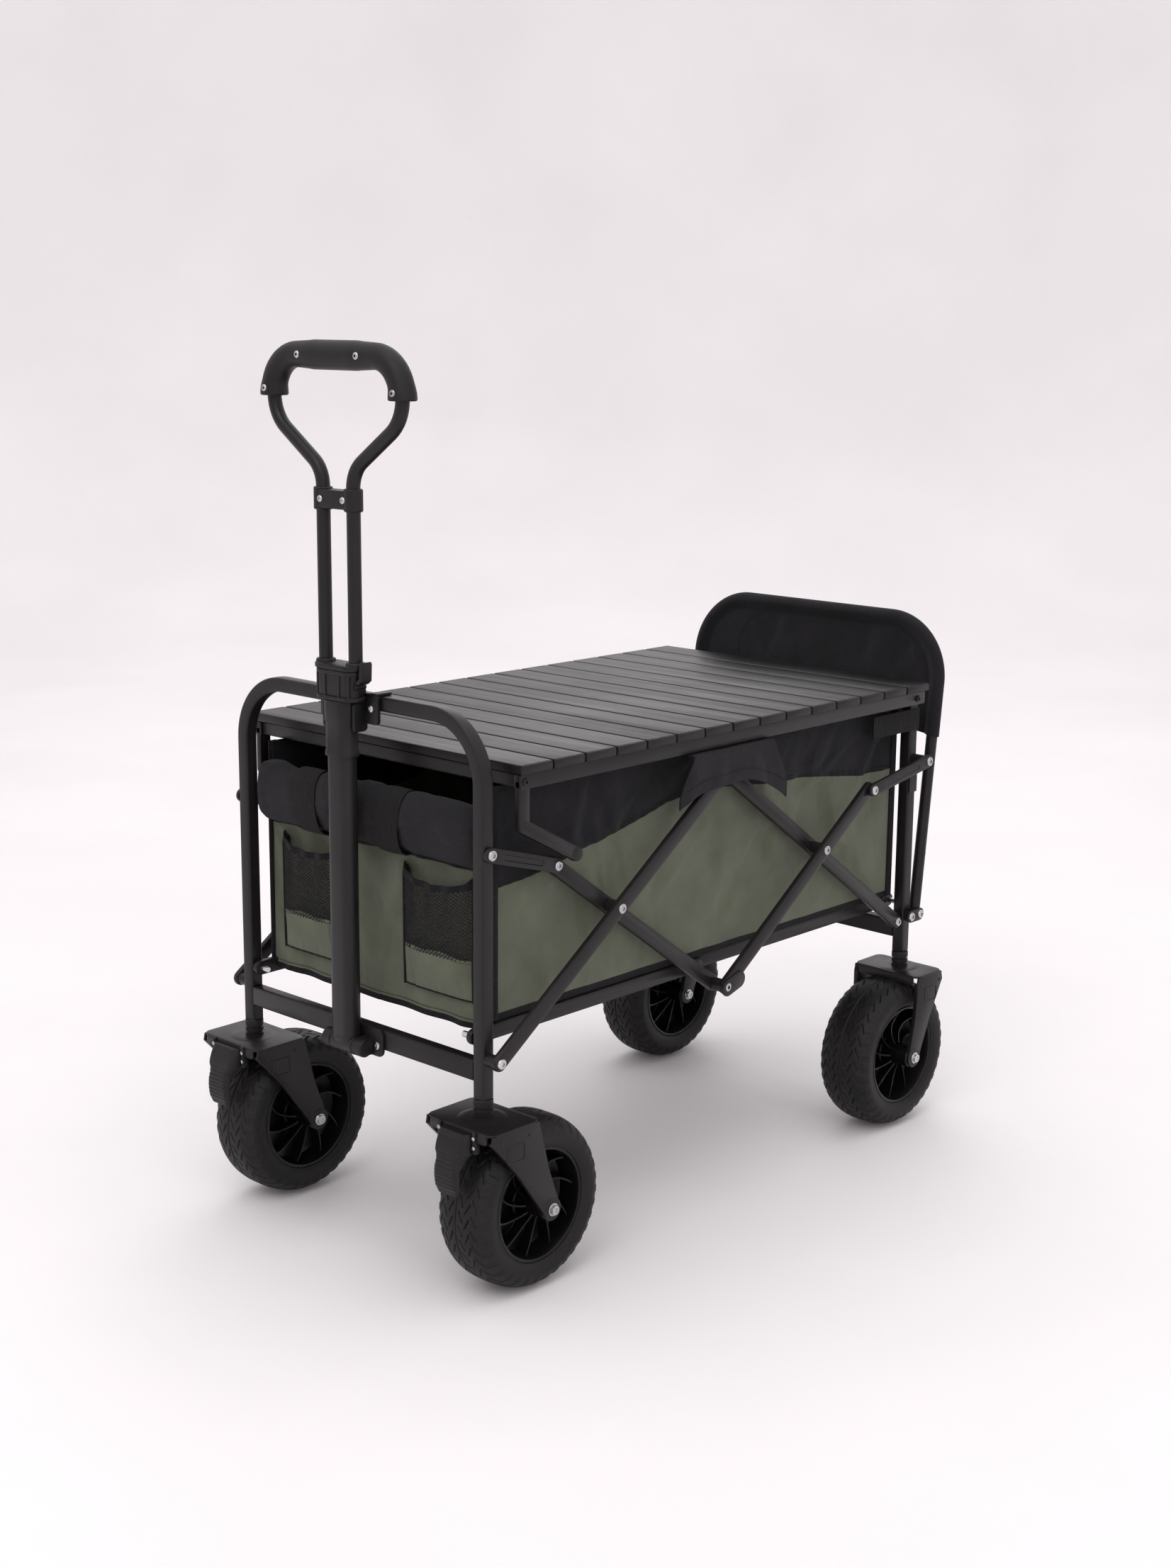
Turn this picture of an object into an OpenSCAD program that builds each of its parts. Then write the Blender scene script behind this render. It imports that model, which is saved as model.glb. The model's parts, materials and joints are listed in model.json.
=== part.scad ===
// Folding four-wheel cart with a slatted lift-off table, a telescoping pull loop, a drop-down tailgate
// and four swivel casters. Millimetres, +X towards the pull handle, +Y to the left, +Z up, wheels on z = 0.

/* [Frame] */
// Half the distance between the front and rear lower scissor pivots
half_base = 435; // [380:1:520]
// Middle of the cart to the centre of each corner post
post_y = 224; // [200:1:270]
// Height of the lower scissor pivots
pivot_z = 313; // [300:1:330]
// Height of each scissor crossing above the lower pivots
cross_rise = 154; // [130:1:175]
// Side of the square frame tube
tube = 19; // [17:0.5:22]
// Height of the top of the front hoop
hoop_top = 744; // [715:1:800]
// Outer radius of the hoop's corners
hoop_corner = 90; // [60:1:110]
// Height of the lower ends of the posts
post_foot = 262; // [258:1:266]
// Rear post centre behind the rear lower pivot
rear_set = 22; // [21:1:30]
// Height of the upper ends of the rear posts
rear_top = 655; // [645:1:664]

/* [Scissors] */
// Width of the flat scissor bars
bar_w = 21; // [16:0.5:22]
// Thickness of the flat scissor bars
bar_t = 9; // [7:0.5:9.5]
// Distance of the link pivot beyond the crossing
link_reach = 125; // [110:1:135]
// Radius of the pivot pins
pin_r = 4; // [3:0.25:5]
// How far the scissors fold, in degrees
fold_angle = 36; // [20:1:38]

/* [Table] */
// Height of the table top
table_top = 680; // [674:1:700]
// Width of one slat, before the row is fitted to the frame
slat_width = 55.5; // [44:0.5:70]
// Gap between two slats
slat_gap = 2; // [1:0.25:5]
// Thickness of a slat
slat_t = 12; // [10:0.5:13]
// How far a slat reaches past the outer face of a post
slat_over = 22.5; // [19:0.5:40]
// How far the table's front edge stands behind the front posts
front_inset = 33; // [26:1:40]

/* [Handle] */
// Width of the draw tube across the cart
draw_w = 42; // [38:0.5:48]
// Depth of the draw tube
draw_d = 26; // [22:0.5:28]
// Distance between the two pull rods
rod_gap = 56; // [50:0.5:62]
// Radius of the pull rods
rod_r = 8.8; // [7:0.1:10]
// Half width of the pull loop
loop_half = 118; // [95:1:135]
// Height of the middle of the grip bar
grip_z = 1158; // [1100:1:1230]
// Radius of the grip
grip_r = 17; // [14:0.5:19]

/* [Wheels] */
// Radius of the tyres
tyre_r = 112.5; // [100:0.5:113]
// Half width of the tyres
tyre_half = 45; // [34:0.5:47]
// Radius of the rims
rim_r = 78; // [66:0.5:86]
// Front axle behind the front swivel
front_trail = 63; // [45:1:66]
// Rear axle ahead of the rear swivel
rear_trail = 38; // [30:1:55]
// Half of the outer width of the forks
fork_half = 59; // [57:0.5:62]
// Radius of the axles
axle_r = 5; // [4:0.25:6]

/* [Fabric] */
// Thickness of the fabric panels
cloth = 4; // [3:0.25:5]
// Height of the lower edge of the side panels
hem_z = 350; // [350:1:370]
// Height of the seam between the two colours
seam_z = 545; // [500:1:560]
// How far the tailgate leans back, in degrees
gate_lean = 6; // [4:0.5:9]
// Height of the top of the tailgate flap
gate_top = 766; // [740:1:820]

/* [Hidden] */
$fn = 48;

run = 0.05;                                   // radial running clearance of every pin
gap = 0.3;                                    // clearance between faces that slide past each other
half_tube = tube / 2;
post_in = post_y - half_tube;                 // inner faces of the posts
post_out = post_y + half_tube;                // outer faces of the posts
rear_x = -half_base - rear_set;               // rear post centre
front_axle_x = half_base - front_trail;
rear_axle_x = rear_x + rear_trail;
front_end = half_base + half_tube + 58.5;     // front of the brake pedals
rear_end = rear_axle_x - tyre_r;              // back of the rear tyres
x_shift = -(front_end + rear_end) / 2;        // puts the middle of the whole cart on x = 0

// scissor geometry, solved from the frame sizes
arm = norm([half_base / 2, cross_rise]);      // lower pivot to crossing, and crossing to middle pivot
arm_angle = atan2(cross_rise, half_base / 2);
top_z = pivot_z + 2 * cross_rise;             // middle top pivot T
function tip(a) = [(arm - link_reach) * cos(a), (arm + link_reach) * sin(a)];
tip0 = tip(arm_angle);
tip1 = tip(arm_angle + fold_angle);
// height at which a post pivot, set dx ahead of the lower pivot, is as far from the tip at both ends
function hold_z(dx) =
  ((tip1[0] - dx) * (tip1[0] - dx) + tip1[1] * tip1[1] - (tip0[0] - dx) * (tip0[0] - dx)
  - tip0[1] * tip0[1]) / (2 * (tip1[1] - tip0[1]));
link_x = half_base - tip0[0];                 // the link pivot R, counted from the middle
link_z = pivot_z + tip0[1];
front_hold = pivot_z + hold_z(0);
rear_hold = pivot_z + hold_z(-rear_set);

// layers across the cart, from the inside out
in_b = post_out - 0.5;                        // inner scissor bars
in_a = in_b - bar_t;
out_a = post_out + 13;                        // outer scissor bars
out_b = out_a + bar_t;
flink_a = in_b + 1.3;                         // front links run between the two layers
flink_b = flink_a + 5.5;
rlink_a = out_b + 1.7;                        // rear links run outside both layers
rlink_b = rlink_a + 5.5;
skin = post_in - 1.5;                         // outer face of the fabric sides
head_h = 3;
head_r = 6.8;

module placed() {
  translate([x_shift, 0, 0]) children();
}

module both() {
  children();
  mirror([0, 1, 0]) children();
}

// round bar along Y from y0 to y1 at (x, z)
module along_y(x, z, r, y0, y1) {
  translate([x, y1, z]) rotate([90, 0, 0]) cylinder(h = y1 - y0, r = r);
}

// round bar along X from x0 to x1 at (y, z)
module along_x(y, z, r, x0, x1) {
  translate([x0, y, z]) rotate([0, 90, 0]) cylinder(h = x1 - x0, r = r);
}

// outline in the X-Z plane given thickness from y0 to y1
module slab_y(y0, y1) {
  translate([0, y1, 0]) rotate([90, 0, 0]) linear_extrude(height = y1 - y0) children();
}

// outline in the Y-Z plane given thickness from x0 to x1
module slab_x(x0, x1) {
  translate([x0, 0, 0]) rotate([90, 0, 90]) linear_extrude(height = x1 - x0) children();
}

// flat bar with round ends from p to q (points in X-Z)
module bar_2d(p, q, w) {
  translate(p) circle(d = w);
  translate(q) circle(d = w);
  translate(p) rotate(atan2(q[1] - p[1], q[0] - p[0])) translate([0, 0.04 - w / 2])
    square([norm(q - p), w - 0.08]);
}

module box(x0, x1, y0, y1, z0, z1) {
  translate([x0, y0, z0]) cube([x1 - x0, y1 - y0, z1 - z0]);
}

// stadium shaped outline, w wide along Y and d deep along X, centred
module stadium(w, d) {
  translate([-d / 2, -(w - d) / 2]) square([d, w - d]);
  translate([0, (w - d) / 2]) circle(d = d);
  translate([0, -(w - d) / 2]) circle(d = d);
}

// screw head with a hex dimple, facing +Y from y
module head_y(x, z, y) {
  difference() {
    along_y(x, z, head_r, y, y + head_h);
    along_y(x, z, 2.4, y + head_h - 1.6, y + head_h + 1);
  }
}

// ---------------------------------------------------------------- front frame (root)
corner_c = hoop_corner - half_tube;           // centre-line radius of the hoop corner
hoop_z = hoop_top - half_tube;
bar_lo = pivot_z - 30;                        // lower cross bars
bar_hi = pivot_z - 3;
rail_z = pivot_z + 24;                        // floor rail pivots
rail_h = 20;
rail_t = 9;
frail_b = post_in - 2.5;                      // front rails run in the outer lane
frail_a = frail_b - rail_t;
rrail_b = frail_a - 2;                        // rear rails run in the inner lane
rrail_a = rrail_b - rail_t;
stem_r = 6;

module front_hoop_half() {
  difference() {
    union() {
      box(half_base - half_tube, half_base + half_tube, post_in, post_out, post_foot,
        hoop_top - hoop_corner);
      translate([half_base, post_out - hoop_corner, hoop_top - hoop_corner]) rotate([90, 0, 90])
        rotate_extrude(angle = 90) translate([corner_c - half_tube, -half_tube])
          square([tube, tube]);
      box(half_base - half_tube, half_base + half_tube, 0, post_out - hoop_corner,
        hoop_top - tube, hoop_top);
      along_y(half_base, pivot_z, 8.5, post_out - 1, out_a - gap);
      along_y(half_base, front_hold, 8, post_out - 1, flink_a - gap);
    }
    translate([half_base, post_y, post_foot - 1]) cylinder(h = 21, r = stem_r + run);
  }
}

module front_hoop() {
  color("#26262a") placed() union() {
    front_hoop_half();
    mirror([0, 1, 0]) front_hoop_half();
  }
}

module front_cross_bar() {
  color("#2a2a2e") placed() box(half_base - 9, half_base + 9, -post_in, post_in, bar_lo, bar_hi);
}

hx = half_base + half_tube + 4.5 + draw_d / 2;     // middle plane of the handle
hinge_z = pivot_z - 26;                            // lower handle pivot
eye_r = draw_d / 2 - 0.5;
cheek_a = draw_w / 2 + gap;
cheek_b = cheek_a + 5;
bracket_half = 54;
bracket_screw = 43.5;

module cheek_outline() {
  translate([hx, hinge_z]) circle(r = 12);
  translate([half_base + 9, hinge_z - 12]) square([hx - half_base - 9, 24]);
}

module handle_bracket() {
  color("#1d1d20") placed() difference() {
    union() {
      box(half_base + 9, half_base + 13.4, -bracket_half, bracket_half, hinge_z - 13, hinge_z + 17);
      slab_y(cheek_a, cheek_b) cheek_outline();
      slab_y(-cheek_b, -cheek_a) cheek_outline();
    }
    along_y(hx, hinge_z, pin_r + run, -cheek_b - 1, cheek_b + 1);
  }
}

sleeve_w = draw_w + 7;
sleeve_d = draw_d + 6;
sleeve_lo = 665;
sleeve_hi = hoop_top - 8;
clip_y = sleeve_w / 2 + 1;
wing_end = 54;
wing_screw = 42;
wing_x = half_base + half_tube;

module clip_wing() {
  box(wing_x, wing_x + 6, clip_y - 1, wing_end, hoop_top - 36, sleeve_hi);
  box(wing_x, hx + 6, clip_y, clip_y + 4.5, hoop_top - 46, sleeve_hi);
  box(half_base - half_tube, wing_x + 1, collar_w / 2 + 1, wing_end, hoop_top, hoop_top + 4);
  box(wing_x, wing_x + 1, collar_w / 2 + 1, wing_end, hoop_top - 20, hoop_top + 4);
}

module hoop_clip() {
  color("#1b1b1e") placed() union() {
    clip_wing();
    mirror([0, 1, 0]) clip_wing();
    box(wing_x, wing_x + 0.9, -clip_y, clip_y, hoop_top - 36, sleeve_hi);
  }
}

panel_x = half_base - half_tube - 17.5;            // outer face of the front panel
roll_lo = seam_z - 2;
roll_hi = roll_lo + 82;
roll_x = half_base - 14;
roll_rx = 20;
roll_half = post_in - 0.4;

module front_panel() {
  color("#4d5443") placed()
    box(panel_x - cloth, panel_x, -front_half, front_half, pivot_z + 20, roll_lo - gap);
}

module front_roll() {
  color("#17171b") placed() difference() {
    translate([0, roll_half, 0]) rotate([90, 0, 0]) linear_extrude(height = 2 * roll_half) union() {
      translate([roll_x, roll_hi - roll_rx]) circle(r = roll_rx);
      translate([roll_x, roll_lo + roll_rx]) circle(r = roll_rx);
      translate([roll_x - roll_rx, roll_lo + roll_rx]) square([2 * roll_rx, roll_hi - roll_lo - 2 * roll_rx]);
    }
    both() box(panel_x - 60, panel_x + gap, skin - cloth - gap, skin + 10, roll_lo - 5, roll_hi + 5);
  }
}

front_half = frail_a - 1.5;                        // the end walls pass inside the floor rails
rear_half = rrail_a - 1.5;
pocket_in = 56;
pocket_out = 182;
pocket_lo = 368;
pocket_hi = 525;
pocket_d = 20;
pocket_split = 423;

module pocket() {
  difference() {
    box(panel_x + gap, panel_x + pocket_d, pocket_in, pocket_out, pocket_lo, pocket_hi);
    box(panel_x + 1.8, panel_x + pocket_d - 1.8, pocket_in + 2, pocket_out - 2, pocket_lo + 2,
      pocket_hi + 1);
  }
}

module front_pockets() {
  color("#30332c") placed() both() pocket();
}

module front_pins() {
  color("#c9cbce") placed() union() {
    both() {
      along_y(half_base, pivot_z, pin_r, out_a - gap, out_b + gap);
      head_y(half_base, pivot_z, out_b + gap);
      along_y(half_base, front_hold, pin_r, flink_a - gap, flink_b + gap);
      head_y(half_base, front_hold, flink_b + gap);
      along_y(half_base, rail_z, pin_r, rrail_b, post_in);
      along_y(half_base, rail_z, 6.5, rrail_b, frail_a - gap);
      along_x(wing_screw, hoop_top - 16, 4.4, wing_x + 6, wing_x + 8.4);
      along_x(bracket_screw, hinge_z + 2, 4.8, half_base + 13.4, half_base + 16);
      along_y(hx, hinge_z, 6.4, cheek_b + gap, cheek_b + 3.2);
    }
    along_y(hx, hinge_z, pin_r, -cheek_b - 1, cheek_b + 1);
  }
}

// ---------------------------------------------------------------- handle
tube_wall = 2;
collar_lo = sleeve_hi + 1;
collar_hi = collar_lo + 38;
collar_w = 80;
collar_d = 36;
inner_w = draw_w - 2 * tube_wall - 2 * gap;
inner_d = draw_d - 2 * tube_wall - 2 * gap;

module draw_tube() {
  color("#232327") placed() difference() {
    union() {
      translate([hx, 0, hinge_z + 20]) linear_extrude(height = collar_hi - hinge_z - 22)
        stadium(draw_w, draw_d);
      slab_y(-draw_w / 2 + 1, draw_w / 2 - 1) translate([hx, hinge_z]) circle(r = eye_r);
      box(hx - eye_r, hx + eye_r, -draw_w / 2 + 1, draw_w / 2 - 1, hinge_z, hinge_z + 8);
      translate([hx, 0, hinge_z + 8]) linear_extrude(height = 13) stadium(draw_w, draw_d);
    }
    translate([hx, 0, hinge_z + 30]) linear_extrude(height = 600)
      stadium(draw_w - 2 * tube_wall, draw_d - 2 * tube_wall);
    along_y(hx, hinge_z, pin_r + run, -50, 50);
  }
}

module snap_sleeve() {
  color("#19191c") placed() difference() {
    union() {
      translate([hx, 0, sleeve_lo]) linear_extrude(height = sleeve_hi - sleeve_lo)
        stadium(sleeve_w - 3, sleeve_d - 3);
      translate([hx, 0, sleeve_lo]) linear_extrude(height = 5) stadium(sleeve_w, sleeve_d);
      translate([hx, 0, sleeve_lo + 45]) linear_extrude(height = sleeve_hi - sleeve_lo - 45)
        stadium(sleeve_w, sleeve_d);
    }
    translate([hx, 0, sleeve_lo - 1]) linear_extrude(height = 200)
      stadium(draw_w + 0.2, draw_d + 0.2);
    box(0, wing_x + 1.2, -100, 100, 600, 800);
  }
}

module telescope_collar() {
  color("#161619") placed() difference() {
    union() {
      translate([hx, 0, collar_lo]) linear_extrude(height = collar_hi - collar_lo)
        stadium(collar_w - 8, collar_d - 6);
      translate([hx, 0, collar_lo]) linear_extrude(height = 5) stadium(collar_w - 4, collar_d - 2);
      for (y = [-1, 0, 1])
        box(hx - collar_d / 2 + 1, hx + collar_d / 2 - 1, y * 22 - 3, y * 22 + 3, collar_lo + 4,
          collar_hi);
      box(hx - 9, hx + 9, collar_w / 2 - 10, collar_w / 2 - 3, collar_lo + 10, collar_hi - 6);
    }
    translate([hx, 0, collar_lo - 1]) linear_extrude(height = 200)
      stadium(draw_w + 0.2, draw_d + 0.2);
    along_x(lever_y, lever_z, 2.5 + run, hx - 30, hx + 30);
    box(hx - 6.3, hx + 6.3, lever_y - 3.6, collar_w / 2 + 5, collar_lo + 5.2, collar_hi + 5);
  }
}

lever_y = collar_w / 2 - 6;
lever_z = collar_lo + 19;

module clamp_lever() {
  color("#1a1a1d") placed() difference() {
    union() {
      slab_x(hx - 6, hx + 6) translate([lever_y, lever_z]) circle(r = 3.3);
      box(hx - 6, hx + 6, lever_y, lever_y + 12, lever_z - 3.3, lever_z + 3.3);
      box(hx - 9, hx + 9, lever_y + 8.5, lever_y + 14.5, lever_z + 2.5, lever_z + 32);
      along_x(lever_y, lever_z, 2.5, hx - 8.5, hx + 8.5);
    }
    along_x(lever_y, lever_z, 1.2, hx - 30, hx + 30);
  }
}

cap_lo = collar_hi + gap;
cap_h = 7;
half_rod = rod_gap / 2;

module rod_cap() {
  color("#161619") placed() difference() {
    union() {
      translate([hx, 0, cap_lo]) linear_extrude(height = cap_h) stadium(collar_w, collar_d);
      translate([hx, 0, cap_lo - 250]) linear_extrude(height = 252) stadium(inner_w, inner_d);
    }
    both() translate([hx, half_rod, cap_lo + 2]) cylinder(h = 20, r = rod_r + 0.1);
  }
}

flare = 55;
bend_a = 40;
bend_b = 50;
flare_run = (loop_half - half_rod - (bend_a + bend_b) * (1 - cos(flare))) / sin(flare);
flare_rise = (bend_a + bend_b) * sin(flare) + flare_run * cos(flare);
crown_r = 48;
loop_lo = grip_z - crown_r - 1 - flare_rise;       // where the rods start to flare
fat = 0.06;                                        // straight lengths are this much thicker than bends
lap = 1;                                           // and reach this far into them

// a piece of the loop's centre line, drawn as a round bar of radius r in the Y-Z plane
module arc_bar(cy, cz, big, small, from, sweep) {
  translate([hx, cy, cz]) rotate([90, 0, 90]) rotate([0, 0, from]) rotate_extrude(angle = sweep)
    translate([big, 0]) circle(r = small);
}

module loop_side(r) {
  b1 = [half_rod + bend_a * (1 - cos(flare)), loop_lo + bend_a * sin(flare)];
  translate([hx, half_rod, cap_lo + 2.2]) cylinder(h = loop_lo + lap - cap_lo - 2.2, r = r + fat);
  arc_bar(half_rod + bend_a, loop_lo, bend_a, r, 180 - flare, flare);
  translate([hx, b1[0], b1[1]]) rotate([-flare, 0, 0]) translate([0, 0, -lap])
    cylinder(h = flare_run + 2 * lap, r = r + fat);
  translate([hx, loop_half, grip_z - crown_r - 1 - lap]) cylinder(h = 1 + 2 * lap, r = r + fat);
  arc_bar(loop_half - bend_b, grip_z - crown_r - 1, bend_b, r, -flare, flare);
}

module crown(r) {
  both() arc_bar(loop_half - crown_r, grip_z - crown_r, crown_r, r, 0, 90);
  along_y(hx, grip_z, r + fat, -(loop_half - crown_r) - lap, loop_half - crown_r + lap);
}

module pull_loop() {
  color("#232327") placed() union() {
    both() loop_side(rod_r);
    crown(rod_r);
  }
}

clip_z = loop_lo - 14.1;                           // the clip sits on the straight rods, under the flare
clip_half_w = 38.5;

module rod_clip() {
  color("#1b1b1e") placed() difference() {
    translate([hx, 0, clip_z - 14]) linear_extrude(height = 28) stadium(2 * clip_half_w, 24);
    both() translate([hx, half_rod, clip_z - 20]) cylinder(h = 40, r = rod_r + 0.15);
    box(hx - 30, hx + 30, -half_rod + 14, half_rod - 14, clip_z - 20, clip_z - 8);
  }
}

module grip() {
  color("#131316") placed() difference() {
    union() {
      crown(grip_r);
      both() translate([hx, loop_half, grip_z - crown_r - 3]) cylinder(h = 3 + lap, r = grip_r + fat);
      along_y(hx, grip_z, grip_r + 1.2, -46, 46);
    }
    crown(rod_r + 0.15);
    both() translate([hx, loop_half, grip_z - crown_r - 10]) cylinder(h = 10 + lap, r = rod_r + 0.15 + fat);
  }
}

module loop_screws() {
  color("#c9cbce") placed() both() {
    along_x(54, grip_z, 3.6, hx + grip_r + 0.05, hx + grip_r + 2);
    along_x(loop_half, grip_z - crown_r + 6, 3.6, hx + grip_r + 0.05, hx + grip_r + 2);
    along_x(22, clip_z, 3.6, hx + 12, hx + 14);
  }
}

// ---------------------------------------------------------------- scissor bars
p0 = [half_base, pivot_z];
c0 = [half_base / 2, pivot_z + cross_rise];
t0 = [0, top_z];
d0 = [0, pivot_z];
r0 = [link_x, link_z];
q0 = [half_base, front_hold];
q1 = [rear_x, rear_hold];
function rev(p) = [-p[0], p[1]];
bore = pin_r + run;

module strut(p, q, y0, y1, holes) {
  slab_y(y0, y1) difference() {
    bar_2d(p, q, bar_w);
    for (h = holes) translate(h) circle(r = bore);
  }
}

// pin that joins an outer and an inner bar, with a spacer between them, carried by the outer bar
module cross_pin(p) {
  along_y(p[0], p[1], pin_r, in_a - 3, out_b + 0.5);
  head_y(p[0], p[1], out_b);
  along_y(p[0], p[1], 9, in_b + gap, out_a);
  along_y(p[0], p[1], 6.5, in_a - 3.5, in_a - gap);
}

module front_long_struts() {
  color("#2b2b2f") placed() both() union() {
    strut(p0, t0, out_a, out_b, [p0]);
    cross_pin(c0);
    cross_pin(t0);
  }
}

module rear_long_struts() {
  color("#2b2b2f") placed() both() strut(rev(p0), t0, in_a, in_b, [rev(p0), rev(c0), t0]);
}

module front_short_struts() {
  color("#2b2b2f") placed() both() strut(d0, r0, in_a, in_b, [d0, c0]);
}

module rear_short_struts() {
  color("#2b2b2f") placed() both() union() {
    strut(d0, rev(r0), out_a, out_b, []);
    cross_pin(rev(c0));
    cross_pin(d0);
    slab_y(out_b, out_b + 2.4) bar_2d(d0 + [0, -1], d0 + [-24, 6], 24);
  }
}

module front_links() {
  color("#2f2f33") placed() both() union() {
    slab_y(flink_a, flink_b) difference() {
      bar_2d(q0, r0, 19);
      translate(q0) circle(r = bore);
    }
    head_y(r0[0], r0[1], flink_b);
    along_y(r0[0], r0[1], 8, in_b + gap, flink_a);
  }
}

module rear_links() {
  color("#2f2f33") placed() both() union() {
    slab_y(rlink_a, rlink_b) difference() {
      bar_2d(q1, rev(r0), 19);
      translate(q1) circle(r = bore);
    }
    head_y(-r0[0], r0[1], rlink_b);
    along_y(-r0[0], r0[1], 8, out_b + gap, rlink_a);
  }
}

// ---------------------------------------------------------------- rear frame
plate_z = pivot_z + 5;
gate_x = rear_x - 23;
gate_y = post_y + 7;
gate_r = 8.5;

module rear_post() {
  difference() {
    union() {
      box(rear_x - half_tube, rear_x + half_tube, post_in, post_out, post_foot, rear_top);
      box(rear_x + half_tube - 1, -half_base + 11, post_in + 1, in_a - gap, pivot_z - 10, pivot_z + 10);
      along_y(rear_x, rear_hold, 8, post_out - 1, rlink_a - gap);
    }
    translate([rear_x, post_y, post_foot - 1]) cylinder(h = 21, r = stem_r + run);
  }
}

module rear_posts() {
  color("#26262a") placed() both() rear_post();
}

module rear_cross_bar() {
  color("#2a2a2e") placed() box(rear_x - 9, rear_x + 9, -post_in, post_in, bar_lo, bar_hi);
}

module rear_pins() {
  color("#c9cbce") placed() both() {
    along_y(-half_base, pivot_z, pin_r, in_a - gap, in_b + gap);
    head_y(-half_base, pivot_z, in_b + gap);
    along_y(rear_x, rear_hold, pin_r, rlink_a - gap, rlink_b + gap);
    head_y(rear_x, rear_hold, rlink_b + gap);
    along_y(rear_x, rail_z, pin_r, rrail_a - 1.5, post_in);
    along_y(rear_x, rail_z, 6.5, rrail_a - 3.5, rrail_a - gap);
    along_y(gate_x, plate_z, pin_r, gate_y - gate_r - 2, gate_y + gate_r + gap);
  }
}

plate_a = gate_y + gate_r + gap;

module gate_plates() {
  color("#2f2f33") placed() both() union() {
    slab_y(plate_a, plate_a + 3) bar_2d([rear_x, plate_z], [gate_x, plate_z], 19);
    along_y(rear_x, plate_z, 8, post_out, plate_a);
    head_y(rear_x, plate_z, plate_a + 3);
    head_y(gate_x, plate_z, plate_a + 3);
  }
}

strap_lo = 606;
strap_hi = 639;

module gate_straps() {
  color("#101013") placed() both() union() {
    box(rear_x - half_tube, rear_x + 107, post_out + 0.4, post_out + 2.4, strap_lo, strap_hi);
    box(rear_x - half_tube - 2.4, rear_x - half_tube - 0.4, post_in, post_out + 2.4, strap_lo,
      strap_hi);
    box(rear_x - half_tube - 2.4, rear_x - half_tube, post_out, post_out + 2.4, strap_lo, strap_hi);
    box(rear_x - half_tube - 3, rear_x + half_tube, post_out + 0.4, post_out + 4, 511, 544);
  }
}

rear_panel_x = rear_x + half_tube + 10;

module rear_panel() {
  color("#4d5443") placed()
    box(rear_panel_x - cloth, rear_panel_x, -rear_half, rear_half, pivot_z + 20, side_top);
}

// ---------------------------------------------------------------- tailgate
gate_len = (gate_top - 6 - plate_z) / cos(gate_lean);
gate_corner = 92;
flap_len = 150;

module leaning() {
  translate([gate_x, 0, plate_z]) rotate([0, -gate_lean, 0]) children();
}

// the hoop in its own plane, which stands on the hinge axis
module gate_path(r) {
  both() {
    translate([0, gate_y, 0]) cylinder(h = gate_len - gate_corner + lap, r = r + fat);
    translate([0, gate_y - gate_corner, gate_len - gate_corner]) rotate([90, 0, 90])
      rotate_extrude(angle = 90) translate([gate_corner, 0]) circle(r = r);
  }
  along_y(0, gate_len, r + fat, -(gate_y - gate_corner) - lap, gate_y - gate_corner + lap);
}

module tail_hoop() {
  color("#26262a") placed() leaning() difference() {
    union() {
      gate_path(gate_r);
      both() rotate([-90, 0, 0]) translate([0, 0, gate_y - gate_r]) cylinder(h = 2 * gate_r, r = gate_r + 1);
    }
    both() rotate([-90, 0, 0]) translate([0, 0, gate_y - 40]) cylinder(h = 80, r = bore);
  }
}

flap_lo = gate_len - flap_len;

module flap_outline(off) {
  w = gate_y + gate_r + off;
  c = gate_corner + gate_r + off;
  difference() {
    translate([-w, flap_lo]) square([2 * w, gate_len + gate_r + off - flap_lo]);
    for (s = [-1, 1]) translate([s * w, gate_len + gate_r + off]) difference() {
      translate([-c, -c]) square(2 * c);
      translate([-s * c, -c]) circle(r = c, $fn = 96);
    }
  }
}

module tail_flap() {
  color("#17171b") placed() leaning() difference() {
    translate([-gate_r - 2.4, 0, 0]) rotate([90, 0, 90]) linear_extrude(height = 2 * gate_r + 4.8)
      flap_outline(2.4);
    translate([-gate_r - 3, 0, 0]) rotate([90, 0, 90]) linear_extrude(height = gate_r + 1.5)
      difference() {
        flap_outline(-4);
        translate([-300, flap_lo - 1]) square([600, 0.5]);
      }
    gate_path(gate_r + 0.3);
    translate([1.5, -400, flap_lo - 1]) cube([30, 800, 1]);
    translate([6, 0, 0]) rotate([90, 0, 90]) linear_extrude(height = 20) flap_outline(-2 * gate_r - 3);
    translate([-gate_r - 3, -gate_y + gate_r + 4, flap_lo - 1])
      cube([gate_r + 3, 2 * (gate_y - gate_r - 4), 6]);
  }
}

// ---------------------------------------------------------------- floor
floor_bar = 104;                                   // cross bars, clear of the other half's rail ends

module front_floor_rails() {
  color("#2a2a2e") placed() union() {
    both() slab_y(frail_a, frail_b) difference() {
      bar_2d([half_base, rail_z], [10, rail_z], rail_h);
      translate([half_base, rail_z]) circle(r = bore);
    }
    box(floor_bar, floor_bar + 16, -frail_b, frail_b, rail_z - 8, rail_z + 8);
  }
}

module rear_floor_rails() {
  color("#2a2a2e") placed() union() {
    both() slab_y(rrail_a, rrail_b) difference() {
      bar_2d([rear_x, rail_z], [-10, rail_z], rail_h);
      translate([rear_x, rail_z]) circle(r = bore);
    }
    box(-floor_bar - 16, -floor_bar, -rrail_b, rrail_b, rail_z - 8, rail_z + 8);
  }
}

board_top = rail_z - 8;                            // the boards hang under the rails' cross bars
liner_z = rail_z + rail_h / 2 + 0.4;

module front_floor_board() {
  color("#1c1c1f") placed()
    box(70, panel_x - cloth - 38, -rrail_a + 1, rrail_a - 1, board_top - 4, board_top);
}

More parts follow.
